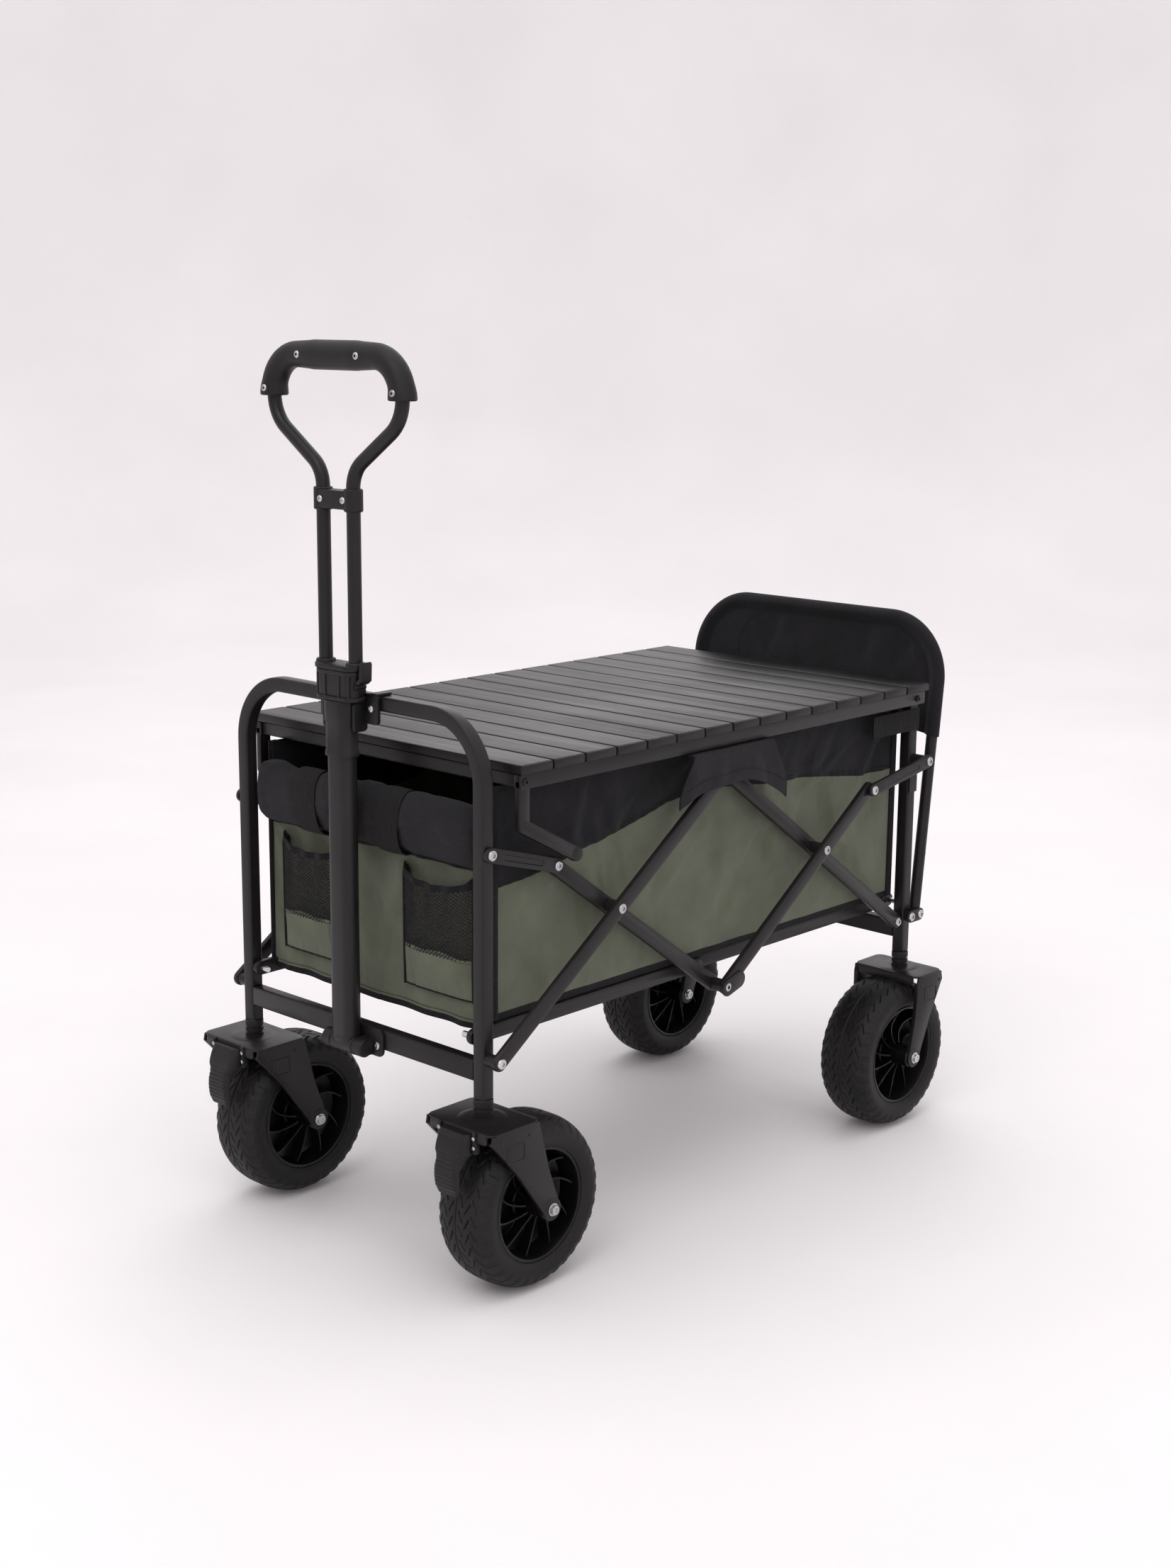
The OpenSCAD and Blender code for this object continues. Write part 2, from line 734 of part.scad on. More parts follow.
module rear_floor_board() {
  color("#1c1c1f") placed()
    box(rear_panel_x + 8, -70, -rrail_a + 1, rrail_a - 1, board_top - 4, board_top);
}

module floor_liner() {
  color("#33372d") placed()
    box(rear_panel_x + gap, panel_x - cloth - gap, -skin + cloth + gap, skin - cloth - gap, liner_z,
      liner_z + cloth);
}

// ---------------------------------------------------------------- side fabric
side_top = table_top - slat_t - 21;
flap_half = 112;
flap_y = out_b + head_h + 2;

module side_panel() {
  box(rear_panel_x - cloth, panel_x, skin - cloth, skin, hem_z, side_top);
  box(panel_x - cloth, panel_x, front_half + gap, skin - 1, hem_z, roll_lo - gap);
  box(rear_panel_x - cloth, rear_panel_x, rear_half + gap, skin - 1, hem_z, side_top);
  box(-flap_half, flap_half, skin - 1, flap_y + 2, side_top - 2, side_top);
  box(-flap_half, flap_half, flap_y, flap_y + 2, side_top - 70, side_top - 1);
}

module side_panel_left() {
  color("#4d5443") placed() side_panel();
}

module side_panel_right() {
  color("#4d5443") placed() mirror([0, 1, 0]) side_panel();
}

// ---------------------------------------------------------------- table
slat_z = table_top - slat_t;
slat_len = 2 * (post_out + slat_over);
table_front = half_base - front_inset;
table_rear = rear_x - 1.5;                    // the rear slat lies over the rear posts
slats = round((table_front - table_rear + slat_gap) / (slat_width + slat_gap));
slat_w = (table_front - table_rear + slat_gap) / slats - slat_gap;
trail_b = slat_len / 2 - 4;                   // outer faces of the table's side rails
trail_a = trail_b - 12;
trail_lo = slat_z - 19;
rivet_front = table_front - 11;
rivet_rear = table_rear + 18;

module table_slats() {
  color("#202023") placed() for (i = [0:slats - 1])
    box(table_front - slat_w - i * (slat_w + slat_gap), table_front - i * (slat_w + slat_gap),
      -slat_len / 2, slat_len / 2, slat_z, table_top);
}

module table_rails() {
  color("#1a1a1d") placed() union() {
    both() box(table_rear + 4, table_front - 3, trail_a, trail_b, trail_lo, slat_z);
    box(table_front - 21, table_front - 3, -trail_b, trail_b, trail_lo, slat_z);
    box(table_rear + 4, table_rear + 14, -trail_b, trail_b, rear_top + 0.6, slat_z);
  }
}

leg_a = trail_a + 1;
leg_b = trail_b - 1;
leg_foot = [r0[0] - 22, r0[1] + 13];
leg_knee = [table_front - 12, slat_z - 66];

module table_legs() {
  color("#1d1d20") placed() both() union() {
    slab_y(leg_a, leg_b) union() {
      translate([table_front - 21, slat_z - 66]) square([18, 66 - 19]);
      bar_2d(leg_knee, leg_foot, 18);
    }
    for (x = [table_front - 110, table_rear + 90])
      box(x - 14, x + 14, skin - 26, skin - 10, slat_z - 16, slat_z);
  }
}

module table_rivets() {
  color("#c9cbce") placed() both() {
    head_y(rivet_front, trail_lo + 9, trail_b);
    head_y(rivet_rear, trail_lo + 9, trail_b);
  }
}

// ---------------------------------------------------------------- casters
crown_hi = post_foot - 24;
crown_t = 3;
leg_t = 3;
crown_fx = 44;
crown_bx = -42;

// fork seen from the side: the axle lies dx from the swivel axis
module fork_leg(dx, fx, bx) {
  difference() {
    union() {
      translate([dx, tyre_r]) circle(r = 14);
      polygon([[dx - 13, tyre_r + 4], [dx + 12, tyre_r - 6], [dx + 14, tyre_r + 3],
        [fx - 14, crown_hi - 32], [fx, crown_hi - 10], [fx, crown_hi], [bx, crown_hi],
        [bx, crown_hi - 8], [bx + 8, crown_hi - 20]]);
    }
  }
}

module fork_body(dx, fx, bx) {
  translate([bx, -fork_half, crown_hi - crown_t]) cube([fx - bx, 2 * fork_half, crown_t]);
  for (s = [-1, 1]) translate([0, s > 0 ? fork_half : -fork_half + leg_t, 0]) rotate([90, 0, 0])
    linear_extrude(height = leg_t) fork_leg(dx, fx, bx);
  translate([0, 0, crown_hi - 1]) cylinder(h = 5, r = 15);
  translate([0, 0, crown_hi]) cylinder(h = post_foot - crown_hi - gap, r = 12.5);
  translate([0, 0, crown_hi]) cylinder(h = post_foot - crown_hi + 19.5, r = stem_r);
  along_y(dx, tyre_r, axle_r, -fork_half - 1, fork_half + 1);
  for (s = [0, 1]) mirror([0, s, 0]) {
    along_y(dx, tyre_r, 8.5, fork_half - 0.5, fork_half + 2);
    difference() {
      along_y(dx, tyre_r, 5.6, fork_half + 1, fork_half + 6);
      along_y(dx, tyre_r, 2.5, fork_half + 4, fork_half + 7);
    }
  }
}

pedal_x = crown_fx + 2;
pedal_z = crown_hi - 14;

module brake_housing() {
  difference() {
    union() {
      box(crown_fx - 4, crown_fx + 4, -31, -27, crown_hi - 30, crown_hi - 1);
      box(crown_fx - 4, crown_fx + 4, 27, 31, crown_hi - 30, crown_hi - 1);
      box(crown_fx - 24, crown_fx - 3, -31, 31, crown_hi - 8, crown_hi - 1);
      both() box(crown_fx - 24, crown_fx - 3, 27, 31, crown_hi - 22, crown_hi - 1);
    }
    along_y(crown_fx, pedal_z, 2.5 + run, -50, 50);
  }
}

module wheel_at(x, y) {
  placed() translate([x, y, 0]) children();
}

module front_fork() {
  union() {
    fork_body(-front_trail, crown_fx, crown_bx);
    brake_housing();
  }
}

module fork_front_left() {
  color("#1e1e21") wheel_at(half_base, post_y) front_fork();
}

module fork_front_right() {
  color("#1e1e21") wheel_at(half_base, -post_y) front_fork();
}

module fork_rear_left() {
  color("#1e1e21") wheel_at(rear_x, post_y) union() fork_body(rear_trail, 36, -30);
}

module fork_rear_right() {
  color("#1e1e21") wheel_at(rear_x, -post_y) union() fork_body(rear_trail, 36, -30);
}

module brake_pedal() {
  difference() {
    union() {
      along_y(crown_fx, pedal_z, 5, -26.5, 26.5);
      slab_y(-26.5, 26.5) polygon([[crown_fx - 4, pedal_z + 3], [crown_fx + 2, pedal_z + 9],
        [crown_fx + 16, pedal_z - 3], [crown_fx + 24, pedal_z - 22], [crown_fx + 19, pedal_z - 25],
        [crown_fx + 10, pedal_z - 8], [crown_fx + 2, pedal_z - 4]]);
      slab_y(-21, 21) polygon([[crown_fx + 4, pedal_z - 4], [crown_fx + 10, pedal_z - 5],
        [crown_fx + 12, pedal_z - 34], [crown_fx + 22, pedal_z - 62], [crown_fx + 19, pedal_z - 70],
        [crown_fx + 14, pedal_z - 64], [crown_fx + 6, pedal_z - 38]]);
    }
    along_y(crown_fx, pedal_z, 2.5 + run, -50, 50);
  }
}

module brake_pedal_left() {
  color("#17171a") wheel_at(half_base, post_y) brake_pedal();
}

module brake_pedal_right() {
  color("#17171a") wheel_at(half_base, -post_y) brake_pedal();
}

module tyre() {
  translate([0, 0, tyre_r]) rotate([90, 0, 0]) rotate_extrude() polygon([
    [rim_r + 0.1, -tyre_half + 5], [rim_r + 6, -tyre_half + 2], [rim_r + 14, -tyre_half],
    [tyre_r - 14, -tyre_half], [tyre_r - 6, -tyre_half + 2.5], [tyre_r - 2, -tyre_half + 7],
    [tyre_r, -tyre_half + 14], [tyre_r, -2], [tyre_r - 2.5, -1], [tyre_r - 2.5, 1], [tyre_r, 2],
    [tyre_r, tyre_half - 14], [tyre_r - 2, tyre_half - 7], [tyre_r - 6, tyre_half - 2.5],
    [tyre_r - 14, tyre_half], [rim_r + 14, tyre_half], [rim_r + 6, tyre_half - 2],
    [rim_r + 0.1, tyre_half - 5]]);
}

hub_half = fork_half - leg_t - 1;

module rim() {
  translate([0, 0, tyre_r]) rotate([90, 0, 0]) difference() {
    union() {
      rotate_extrude() polygon([[rim_r - 5, -tyre_half + 3], [rim_r, -tyre_half + 3],
        [rim_r, tyre_half - 3], [rim_r - 5, tyre_half - 3]]);
      rotate_extrude() polygon([[0, -9], [rim_r - 4, -5], [rim_r - 4, 5], [0, 9]]);
      cylinder(h = 2 * hub_half, r = 15, center = true);
    }
    cylinder(h = 200, r = axle_r + run, center = true);
  }
}

module tyre_front_left() {
  color("#1b1b1c") wheel_at(front_axle_x, post_y) tyre();
}

module tyre_front_right() {
  color("#1b1b1c") wheel_at(front_axle_x, -post_y) tyre();
}

module tyre_rear_left() {
  color("#1b1b1c") wheel_at(rear_axle_x, post_y) tyre();
}

module tyre_rear_right() {
  color("#1b1b1c") wheel_at(rear_axle_x, -post_y) tyre();
}

module rim_front_left() {
  color("#101012") wheel_at(front_axle_x, post_y) rim();
}

module rim_front_right() {
  color("#101012") wheel_at(front_axle_x, -post_y) rim();
}

module rim_rear_left() {
  color("#101012") wheel_at(rear_axle_x, post_y) rim();
}

module rim_rear_right() {
  color("#101012") wheel_at(rear_axle_x, -post_y) rim();
}

front_hoop();
front_cross_bar();
handle_bracket();
hoop_clip();
front_panel();
front_roll();
front_pockets();
front_pins();
draw_tube();
snap_sleeve();
telescope_collar();
rod_cap();
pull_loop();
rod_clip();
grip();
loop_screws();
clamp_lever();
front_long_struts();
rear_long_struts();
front_short_struts();
rear_short_struts();
front_links();
rear_links();
rear_posts();
rear_cross_bar();
rear_pins();
gate_plates();
gate_straps();
rear_panel();
tail_hoop();
tail_flap();
front_floor_rails();
rear_floor_rails();
front_floor_board();
rear_floor_board();
floor_liner();
side_panel_left();
side_panel_right();
table_slats();
table_rails();
table_legs();
table_rivets();
fork_front_left();
fork_front_right();
fork_rear_left();
fork_rear_right();
tyre_front_left();
tyre_front_right();
tyre_rear_left();
tyre_rear_right();
rim_front_left();
rim_front_right();
rim_rear_left();
rim_rear_right();
brake_pedal_left();
brake_pedal_right();
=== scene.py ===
"""Folding beach cart with a slatted table top. Run as a script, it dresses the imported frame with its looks."""

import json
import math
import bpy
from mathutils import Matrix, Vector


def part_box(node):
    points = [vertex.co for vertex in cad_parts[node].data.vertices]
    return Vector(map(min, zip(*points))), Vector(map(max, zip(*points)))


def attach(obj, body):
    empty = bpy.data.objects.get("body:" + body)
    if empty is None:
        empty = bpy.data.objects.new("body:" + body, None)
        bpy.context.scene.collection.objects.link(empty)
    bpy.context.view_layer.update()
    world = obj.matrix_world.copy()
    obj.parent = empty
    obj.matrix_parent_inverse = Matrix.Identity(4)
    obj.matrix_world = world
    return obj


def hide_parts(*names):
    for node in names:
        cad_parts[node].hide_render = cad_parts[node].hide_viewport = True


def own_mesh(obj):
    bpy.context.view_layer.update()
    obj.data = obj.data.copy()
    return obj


bl_info = {
    "name": "Beach Cart",
    "version": (1, 0, 0),
    "blender": (4, 5, 0),
    "location": "3D View > Sidebar > Beach Cart",
    "description": "Builds a folding beach cart with a slatted table top around its CAD frame",
    "category": "Add Mesh",
}

import bmesh
import bpy
import numpy as np
from mathutils import Matrix, Vector

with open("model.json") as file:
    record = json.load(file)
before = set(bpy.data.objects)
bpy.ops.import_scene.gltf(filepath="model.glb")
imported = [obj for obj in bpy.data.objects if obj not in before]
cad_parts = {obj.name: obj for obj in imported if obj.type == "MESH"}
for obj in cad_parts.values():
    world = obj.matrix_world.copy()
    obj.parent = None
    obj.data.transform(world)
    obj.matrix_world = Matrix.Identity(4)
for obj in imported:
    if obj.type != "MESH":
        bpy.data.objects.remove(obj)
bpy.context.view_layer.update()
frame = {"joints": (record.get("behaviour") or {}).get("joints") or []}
JOINTS = {joint["name"]: joint for joint in frame["joints"]}
SIDES = (1, -1)
END = {1: "left", -1: "right"}
MM = 0.001


# ---------------------------------------------------------------- places taken from the frame
def extent(node):
    """Lowest and highest corner of a CAD node, as arrays."""
    low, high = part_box(node)
    return np.array(low), np.array(high)


def pivot(joint):
    """Where a hinge's axis crosses the cart's middle plane, as (x, z)."""
    place = JOINTS[joint]["pos_m"]
    return np.array([place[0], place[2]])


HOOP_LOW, HOOP_HIGH = extent("front_hoop")
TUBE = HOOP_HIGH[0] - HOOP_LOW[0]
POST_Y = float(sum(extent("tyre_front_left"))[1] / 2)
POST_IN = POST_Y - TUBE / 2
POST_OUT = POST_Y + TUBE / 2
FOOT = HOOP_LOW[2]
FRONT_X = pivot("front_link_pivot")[0]
REAR_X = pivot("rear_link_pivot")[0]
P_FRONT, P_REAR = pivot("fold"), pivot("rear_frame_pivot")
C_FRONT, C_REAR = pivot("front_crossing"), pivot("rear_crossing")
Q_FRONT, Q_REAR = pivot("front_link_pivot"), pivot("rear_link_pivot")
TOP = pivot("middle_pivot")
LOW = np.array([TOP[0], P_FRONT[1]])
LINK_HALF = 9.5 * MM
R_FRONT = np.array([extent("front_links")[0][0], extent("front_links")[0][2]]) + LINK_HALF
R_REAR = np.array([extent("rear_links")[1][0] - LINK_HALF, extent("rear_links")[0][2] + LINK_HALF])
HEAD_H = 3 * MM
HEAD_R = 6.8 * MM
IN_B = extent("front_short_struts")[1][1]
IN_A = POST_OUT - 9.5 * MM
OUT_B = extent("front_long_struts")[1][1] - HEAD_H
OUT_A = OUT_B - (IN_B - IN_A)
FLINK = (POST_OUT + 0.8 * MM, extent("front_links")[1][1] - HEAD_H)
RLINK = (OUT_B + 1.7 * MM, extent("rear_links")[1][1] - HEAD_H)
HANDLE_X = float(sum(extent("draw_tube"))[0] / 2)
SKIN = POST_IN - 1.5 * MM
HOOP_CORNER = 80.5 * MM
PLAY = 0.3 * MM


def pair(side, near, far):
    """Two distances from the middle plane, put on one side of it, lowest first."""
    return sorted((side * near, side * far))


# ---------------------------------------------------------------- surfaces as whole arrays
def grid_quads(rows, cols, wrap_rows=False, wrap_cols=False):
    """Quads between neighbouring rows and columns of a grid of points; wrapping joins the last to the first."""
    i = np.arange(rows if wrap_rows else rows - 1)[:, None]
    j = np.arange(cols if wrap_cols else cols - 1)[None, :]
    below, right = (i + 1) % rows, (j + 1) % cols
    return np.stack([i * cols + j, i * cols + right, below * cols + right, below * cols + j], -1).reshape(-1, 4)


def rim_quads(rows, cols):
    """Quads that join the border of one grid to that of a second one, whose points follow the first's."""
    size = rows * cols
    index = np.arange(size).reshape(rows, cols)
    edge = np.concatenate([index[0], index[1:, -1], index[-1, -2::-1], index[-2:0:-1, 0]])
    follow = np.roll(edge, -1)
    return np.stack([edge, follow, follow + size, edge + size], -1)


def lengths(points):
    """Distance run from the first point of a line to each of its points: the running sum of the steps."""
    return np.concatenate([[0], np.cumsum(np.linalg.norm(np.diff(points, axis=0), axis=1))])


def unit(vectors):
    """Each vector divided by its own length."""
    return vectors / np.linalg.norm(vectors, axis=1)[:, None]


def full_turn(count):
    """Angles round a full turn, in equal steps."""
    return np.linspace(0, 2 * np.pi, count, endpoint=False)


def hexagon(angle):
    """Radius of a six-sided nut against its corners' circle: the cosine of 30 degrees, divided by the cosine of
    the angle from the middle of the nearest flat."""
    return np.cos(np.pi / 6) / np.cos((angle % (np.pi / 3)) - np.pi / 6)


class Shape:
    """Gathers surfaces, each a set of points with its quads, into one mesh."""

    def __init__(self):
        self.points, self.quads, self.uvs, self.paints, self.caps = [], [], [], [], []
        self.count = 0

    def add(self, points, quads, uv=None, paint=0, caps=()):
        flat = np.asarray(points, float).reshape(-1, 3)
        quads = np.asarray(quads, int)
        self.points.append(flat)
        self.quads.append(quads + self.count)
        self.uvs.append(np.zeros((len(flat), 2)) if uv is None else np.asarray(uv, float).reshape(-1, 2))
        self.paints.append(np.broadcast_to(paint, len(quads)).astype(int))
        base = int(np.ravel(paint)[0])
        self.caps += [([int(i) + self.count for i in cap], base) for cap in caps]
        self.count += len(flat)
        return self

    def build(self, name, finishes, body=None, slot=None, replaces=(), sharp=38):
        """Makes the object: doubles merged, faces turned outwards, smooth up to a sharp angle, on its body."""
        points, uvs = np.concatenate(self.points), np.concatenate(self.uvs)
        quads = np.concatenate(self.quads)
        mesh = bpy.data.meshes.new(name)
        mesh.from_pydata(points.tolist(), [], quads.tolist() + [cap for cap, _ in self.caps])
        paint = np.concatenate(self.paints + [np.array([p for _, p in self.caps], int)])
        mesh.polygons.foreach_set("material_index", paint.astype(np.int32))
        layer = mesh.uv_layers.new(name="UVMap")
        corner = np.empty(len(mesh.loops), np.int32)
        mesh.loops.foreach_get("vertex_index", corner)
        layer.data.foreach_set("uv", uvs[corner].astype(np.float32).ravel())
        solid = bmesh.new()
        solid.from_mesh(mesh)
        bmesh.ops.remove_doubles(solid, verts=solid.verts, dist=1e-6)
        bmesh.ops.recalc_face_normals(solid, faces=solid.faces)
        solid.to_mesh(mesh)
        solid.free()
        mesh.polygons.foreach_set("use_smooth", np.ones(len(mesh.polygons), bool))
        mesh.set_sharp_from_angle(angle=math.radians(sharp))
        for finish in finishes if isinstance(finishes, (list, tuple)) else [finishes]:
            mesh.materials.append(finish)
        piece = bpy.data.objects.new(name, mesh)
        bpy.context.scene.collection.objects.link(piece)
        if body:
            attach(piece, body)
        if replaces:
            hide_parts(*replaces)
        return piece


def arc(centre, radius, start, end, count=8):
    """Points on a circle's arc in two dimensions, with its angles in degrees."""
    angle = np.radians(np.linspace(start, end, count))
    return np.column_stack([centre[0] + radius * np.cos(angle), centre[1] + radius * np.sin(angle)])


def bar_outline(p, q, width, count=14):
    """Outline of a flat bar: half circles round p and q, joined by straight sides."""
    p, q = np.asarray(p, float), np.asarray(q, float)
    lean = math.degrees(math.atan2(q[1] - p[1], q[0] - p[0]))
    return np.vstack([arc(q, width / 2, lean - 90, lean + 90, count),
                      arc(p, width / 2, lean + 90, lean + 270, count)])


def stadium(width, depth, centre=(0, 0), count=14):
    """Outline of half circles of the smaller size, joined by straight sides, whichever way it is longer."""
    centre = np.asarray(centre, float)
    if width >= depth:
        reach = np.array([(width - depth) / 2, 0])
    else:
        reach = np.array([0, (depth - width) / 2])
    return bar_outline(centre - reach, centre + reach, min(width, depth), count)


def block_outline(low, high, radius, count=5):
    """Outline of a rectangle with rounded corners."""
    (x0, y0), (x1, y1) = low, high
    r = min(radius, abs(x1 - x0) / 2.01, abs(y1 - y0) / 2.01)
    return np.vstack([
        arc((x1 - r, y0 + r), r, -90, 0, count), arc((x1 - r, y1 - r), r, 0, 90, count),
        arc((x0 + r, y1 - r), r, 90, 180, count), arc((x0 + r, y0 + r), r, 180, 270, count),
    ])


def shrink(outline, distance):
    """Moves each point of a counter-clockwise outline inwards, along the mean normal of its two edges."""
    ahead = np.roll(outline, -1, 0) - outline
    behind = outline - np.roll(outline, 1, 0)
    ahead = ahead / np.maximum(np.linalg.norm(ahead, axis=1), 1e-12)[:, None]
    behind = behind / np.maximum(np.linalg.norm(behind, axis=1), 1e-12)[:, None]
    mean = ahead + behind
    size = np.maximum(np.linalg.norm(mean, axis=1), 0.5)[:, None]
    inward = np.column_stack([-mean[:, 1], mean[:, 0]]) / size
    return outline + inward * distance * np.minimum(2 / size, 2)


ORDER = {"x": (2, 0, 1), "y": (0, 2, 1), "z": (0, 1, 2)}
ACROSS = {"x": (1, 2, 0), "y": (0, 2, 1), "z": (0, 1, 2)}


def placed(axis, first, second, along):
    """Puts two coordinates across an axis and one along it in order: x has (y, z) across, y (x, z), z has (x, y).
    They may be whole arrays."""
    stack = np.stack(np.broadcast_arrays(first, second, along), -1)
    return stack[..., list(ORDER[axis])]


def plate(shape, outline, axis, low, high, bevel=1 * MM, paint=0, rings=3, dent=None):
    """Extrudes an outline between two heights, its edges rounded by quarter circles. A dent is
    (outline, slope, depth): a smaller outline on the high face, pressed in by that depth over that slope."""
    turn = np.linspace(0, np.pi / 2, rings)
    rise, inset = bevel * (1 - np.cos(turn)), bevel * (1 - np.sin(turn))
    heights = np.concatenate([low + rise, (high - rise)[::-1]])
    insets = np.concatenate([inset, inset[::-1]])
    rows = [placed(axis, *shrink(outline, i).T, h) for i, h in zip(insets, heights)]
    if dent is not None:
        smaller, slope, depth = dent
        rows.append(placed(axis, *smaller.T, high))
        rows.append(placed(axis, *shrink(smaller, slope).T, high - depth))
    count, size = len(rows), len(outline)
    caps = (range(size), range((count - 1) * size, count * size))
    return shape.add(np.stack(rows), grid_quads(count, size, wrap_cols=True), paint=paint, caps=caps)


def block(shape, low, high, radius=1.5 * MM, bevel=1 * MM, axis="z", paint=0):
    """A box with rounded upright corners and rounded edges, upright along the axis."""
    low, high = np.asarray(low, float), np.asarray(high, float)
    first, second, along = ACROSS[axis]
    outline = block_outline((low[first], low[second]), (high[first], high[second]), radius)
    return plate(shape, outline, axis, low[along], high[along], bevel, paint)


def turned(shape, profile, centre, axis, count=32, paint=0, factor=None, closed=False):
    """Turns a profile of (radius, height along the axis) about an axis through the centre. factor scales
    the radius by row and angle, and a closed profile meets itself, as a ring's does."""
    profile = np.asarray(profile, float)
    angle = full_turn(count)
    radius = profile[:, :1] * (np.ones((1, count)) if factor is None else factor)
    first, second, along = ACROSS[axis]
    points = placed(axis, centre[first] + radius * np.cos(angle), centre[second] + radius * np.sin(angle),
                    centre[along] + profile[:, 1:])
    rows = len(profile)
    ends = (range(count), profile[0, 0]), (range((rows - 1) * count, rows * count), profile[-1, 0])
    caps = [end for end, width in ends if width > 1e-9 and not closed]
    around = np.broadcast_to(angle / (2 * np.pi), (rows, count))
    down = np.broadcast_to(np.linspace(0, 1, rows)[:, None], (rows, count))
    return shape.add(points, grid_quads(rows, count, closed, True), np.stack([around, down], -1), paint, caps)


def sweep(shape, path, profile, side, scale=None, paint=0, closed=False):
    """Carries a closed profile (a, b) along a path in one plane: a is measured along the plane's normal,
    called side, and b across the path within the plane."""
    path, profile = np.asarray(path, float), np.asarray(profile, float)
    if closed:
        along = np.roll(path, -1, 0) - np.roll(path, 1, 0)
    else:
        along = np.gradient(path, axis=0)
    along = unit(along)
    side = np.asarray(side, float)
    across = unit(np.cross(np.broadcast_to(side, along.shape), along))
    scale = np.ones(len(path)) if scale is None else np.asarray(scale, float)
    points = (path[:, None] + (scale[:, None] * profile[:, 0])[..., None] * side
              + (scale[:, None] * profile[:, 1])[..., None] * across[:, None])
    rows, cols = len(path), len(profile)
    uv = np.stack(np.meshgrid(lengths(path), lengths(profile), indexing="ij"), -1)
    caps = () if closed else (range(cols), range((rows - 1) * cols, rows * cols))
    return shape.add(points, grid_quads(rows, cols, closed, True), uv, paint, caps)


def circle(radius, count=20):
    """A round profile."""
    return arc((0, 0), radius, 0, 360 - 360 / count, count)


def box_profile(width, depth, radius, count=5):
    """A rectangular profile with rounded corners, about its middle."""
    return block_outline((-width / 2, -depth / 2), (width / 2, depth / 2), radius, count)


def slab(shape, grid, thickness, paint=0, rim_paint=None):
    """Gives a grid of points a thickness: a second grid is set back along the surface's normals, and strips
    close the four edges. UVs are lengths in metres along the grid."""
    rows, cols = grid.shape[:2]
    normal = np.cross(np.gradient(grid, axis=0), np.gradient(grid, axis=1))
    normal /= np.maximum(np.linalg.norm(normal, axis=-1), 1e-12)[..., None]
    back = grid - normal * np.broadcast_to(thickness, (rows, cols))[..., None]
    steps_i = np.linalg.norm(np.diff(grid, axis=0), axis=-1)
    steps_j = np.linalg.norm(np.diff(grid, axis=1), axis=-1)
    u = np.concatenate([np.zeros((rows, 1)), np.cumsum(steps_j, 1)], 1)
    v = np.concatenate([np.zeros((1, cols)), np.cumsum(steps_i, 0)], 0)
    uv = np.stack([u, v], -1)
    faces = grid_quads(rows, cols)
    paint = np.broadcast_to(paint, (rows - 1, cols - 1)).ravel()
    rim = rim_quads(rows, cols)
    rim_paint = paint[0] if rim_paint is None else rim_paint
    return shape.add(np.stack([grid, back]), np.vstack([faces, faces[:, ::-1] + rows * cols, rim]),
                     np.stack([uv, uv]), np.concatenate([paint, paint, np.full(len(rim), rim_paint)]))


def ripple(a, b, seed, waves=7, low=6.0, high=40.0):
    """Soft cloth unevenness from -1 to 1: a sum of plane waves with fixed, seeded directions and phases."""
    draw = np.random.default_rng(seed)
    total, weight = 0.0, 0.0
    for _ in range(waves):
        size, turn, phase = draw.uniform(low, high), draw.uniform(0, np.pi), draw.uniform(0, 2 * np.pi)
        share = low / size
        total = total + share * np.sin(size * (a * np.cos(turn) + b * np.sin(turn)) + phase)
        weight += share
    return total / weight


def fold_fan(a, b, corner, spokes, reach, phase):
    """Folds that fan out of a corner: a wave of the angle round it, fading with distance, and flat at the
    corner itself."""
    da, db = a - corner[0], b - corner[1]
    far = np.hypot(da, db)
    wave = np.sin(spokes * np.arctan2(db, da) + phase)
    return wave * np.exp(-far / reach) * np.minimum(far / (0.25 * reach), 1)


def creases(a, b, low, high, seed, count, steep=0.55):
    """Sharp folds in cloth, from -1 to 1: each is a ridge with a hollow beside it, a first derivative of a bell
    across a seeded line, that fades towards the line's ends."""
    draw = np.random.default_rng(seed)
    total = 0.0
    for _ in range(count):
        ca, cb = draw.uniform(low, high)
        turn = draw.choice((-1, 1)) * draw.uniform(steep, 1.45)
        length, width = draw.uniform(0.05, 0.16), draw.uniform(0.010, 0.022)
        along = (a - ca) * np.cos(turn) + (b - cb) * np.sin(turn)
        across = -(a - ca) * np.sin(turn) + (b - cb) * np.cos(turn) + 0.12 * along ** 2 / length
        wide = width * (1 + 0.6 * along / length)
        total = total + draw.uniform(0.5, 1.0) * (across / wide) * np.exp(0.5 - (across / wide) ** 2 / 2
                                                                         - (along / length) ** 2)
    return np.clip(total, -1.2, 1.2)


def ease(value, start, end):
    """Smooth step from 0 at start to 1 at end."""
    t = np.clip((value - start) / (end - start), 0, 1)
    return t * t * (3 - 2 * t)


# ---------------------------------------------------------------- finishes
def linear(code):
    """Linear colour from a hexadecimal display colour, or from one that is linear already."""
    if not isinstance(code, str):
        return [*code][:3] + [1.0]
    parts = [int(code[i:i + 2], 16) / 255 for i in (1, 3, 5)]
    return [c / 12.92 if c <= 0.04045 else ((c + 0.055) / 1.055) ** 2.4 for c in parts] + [1.0]


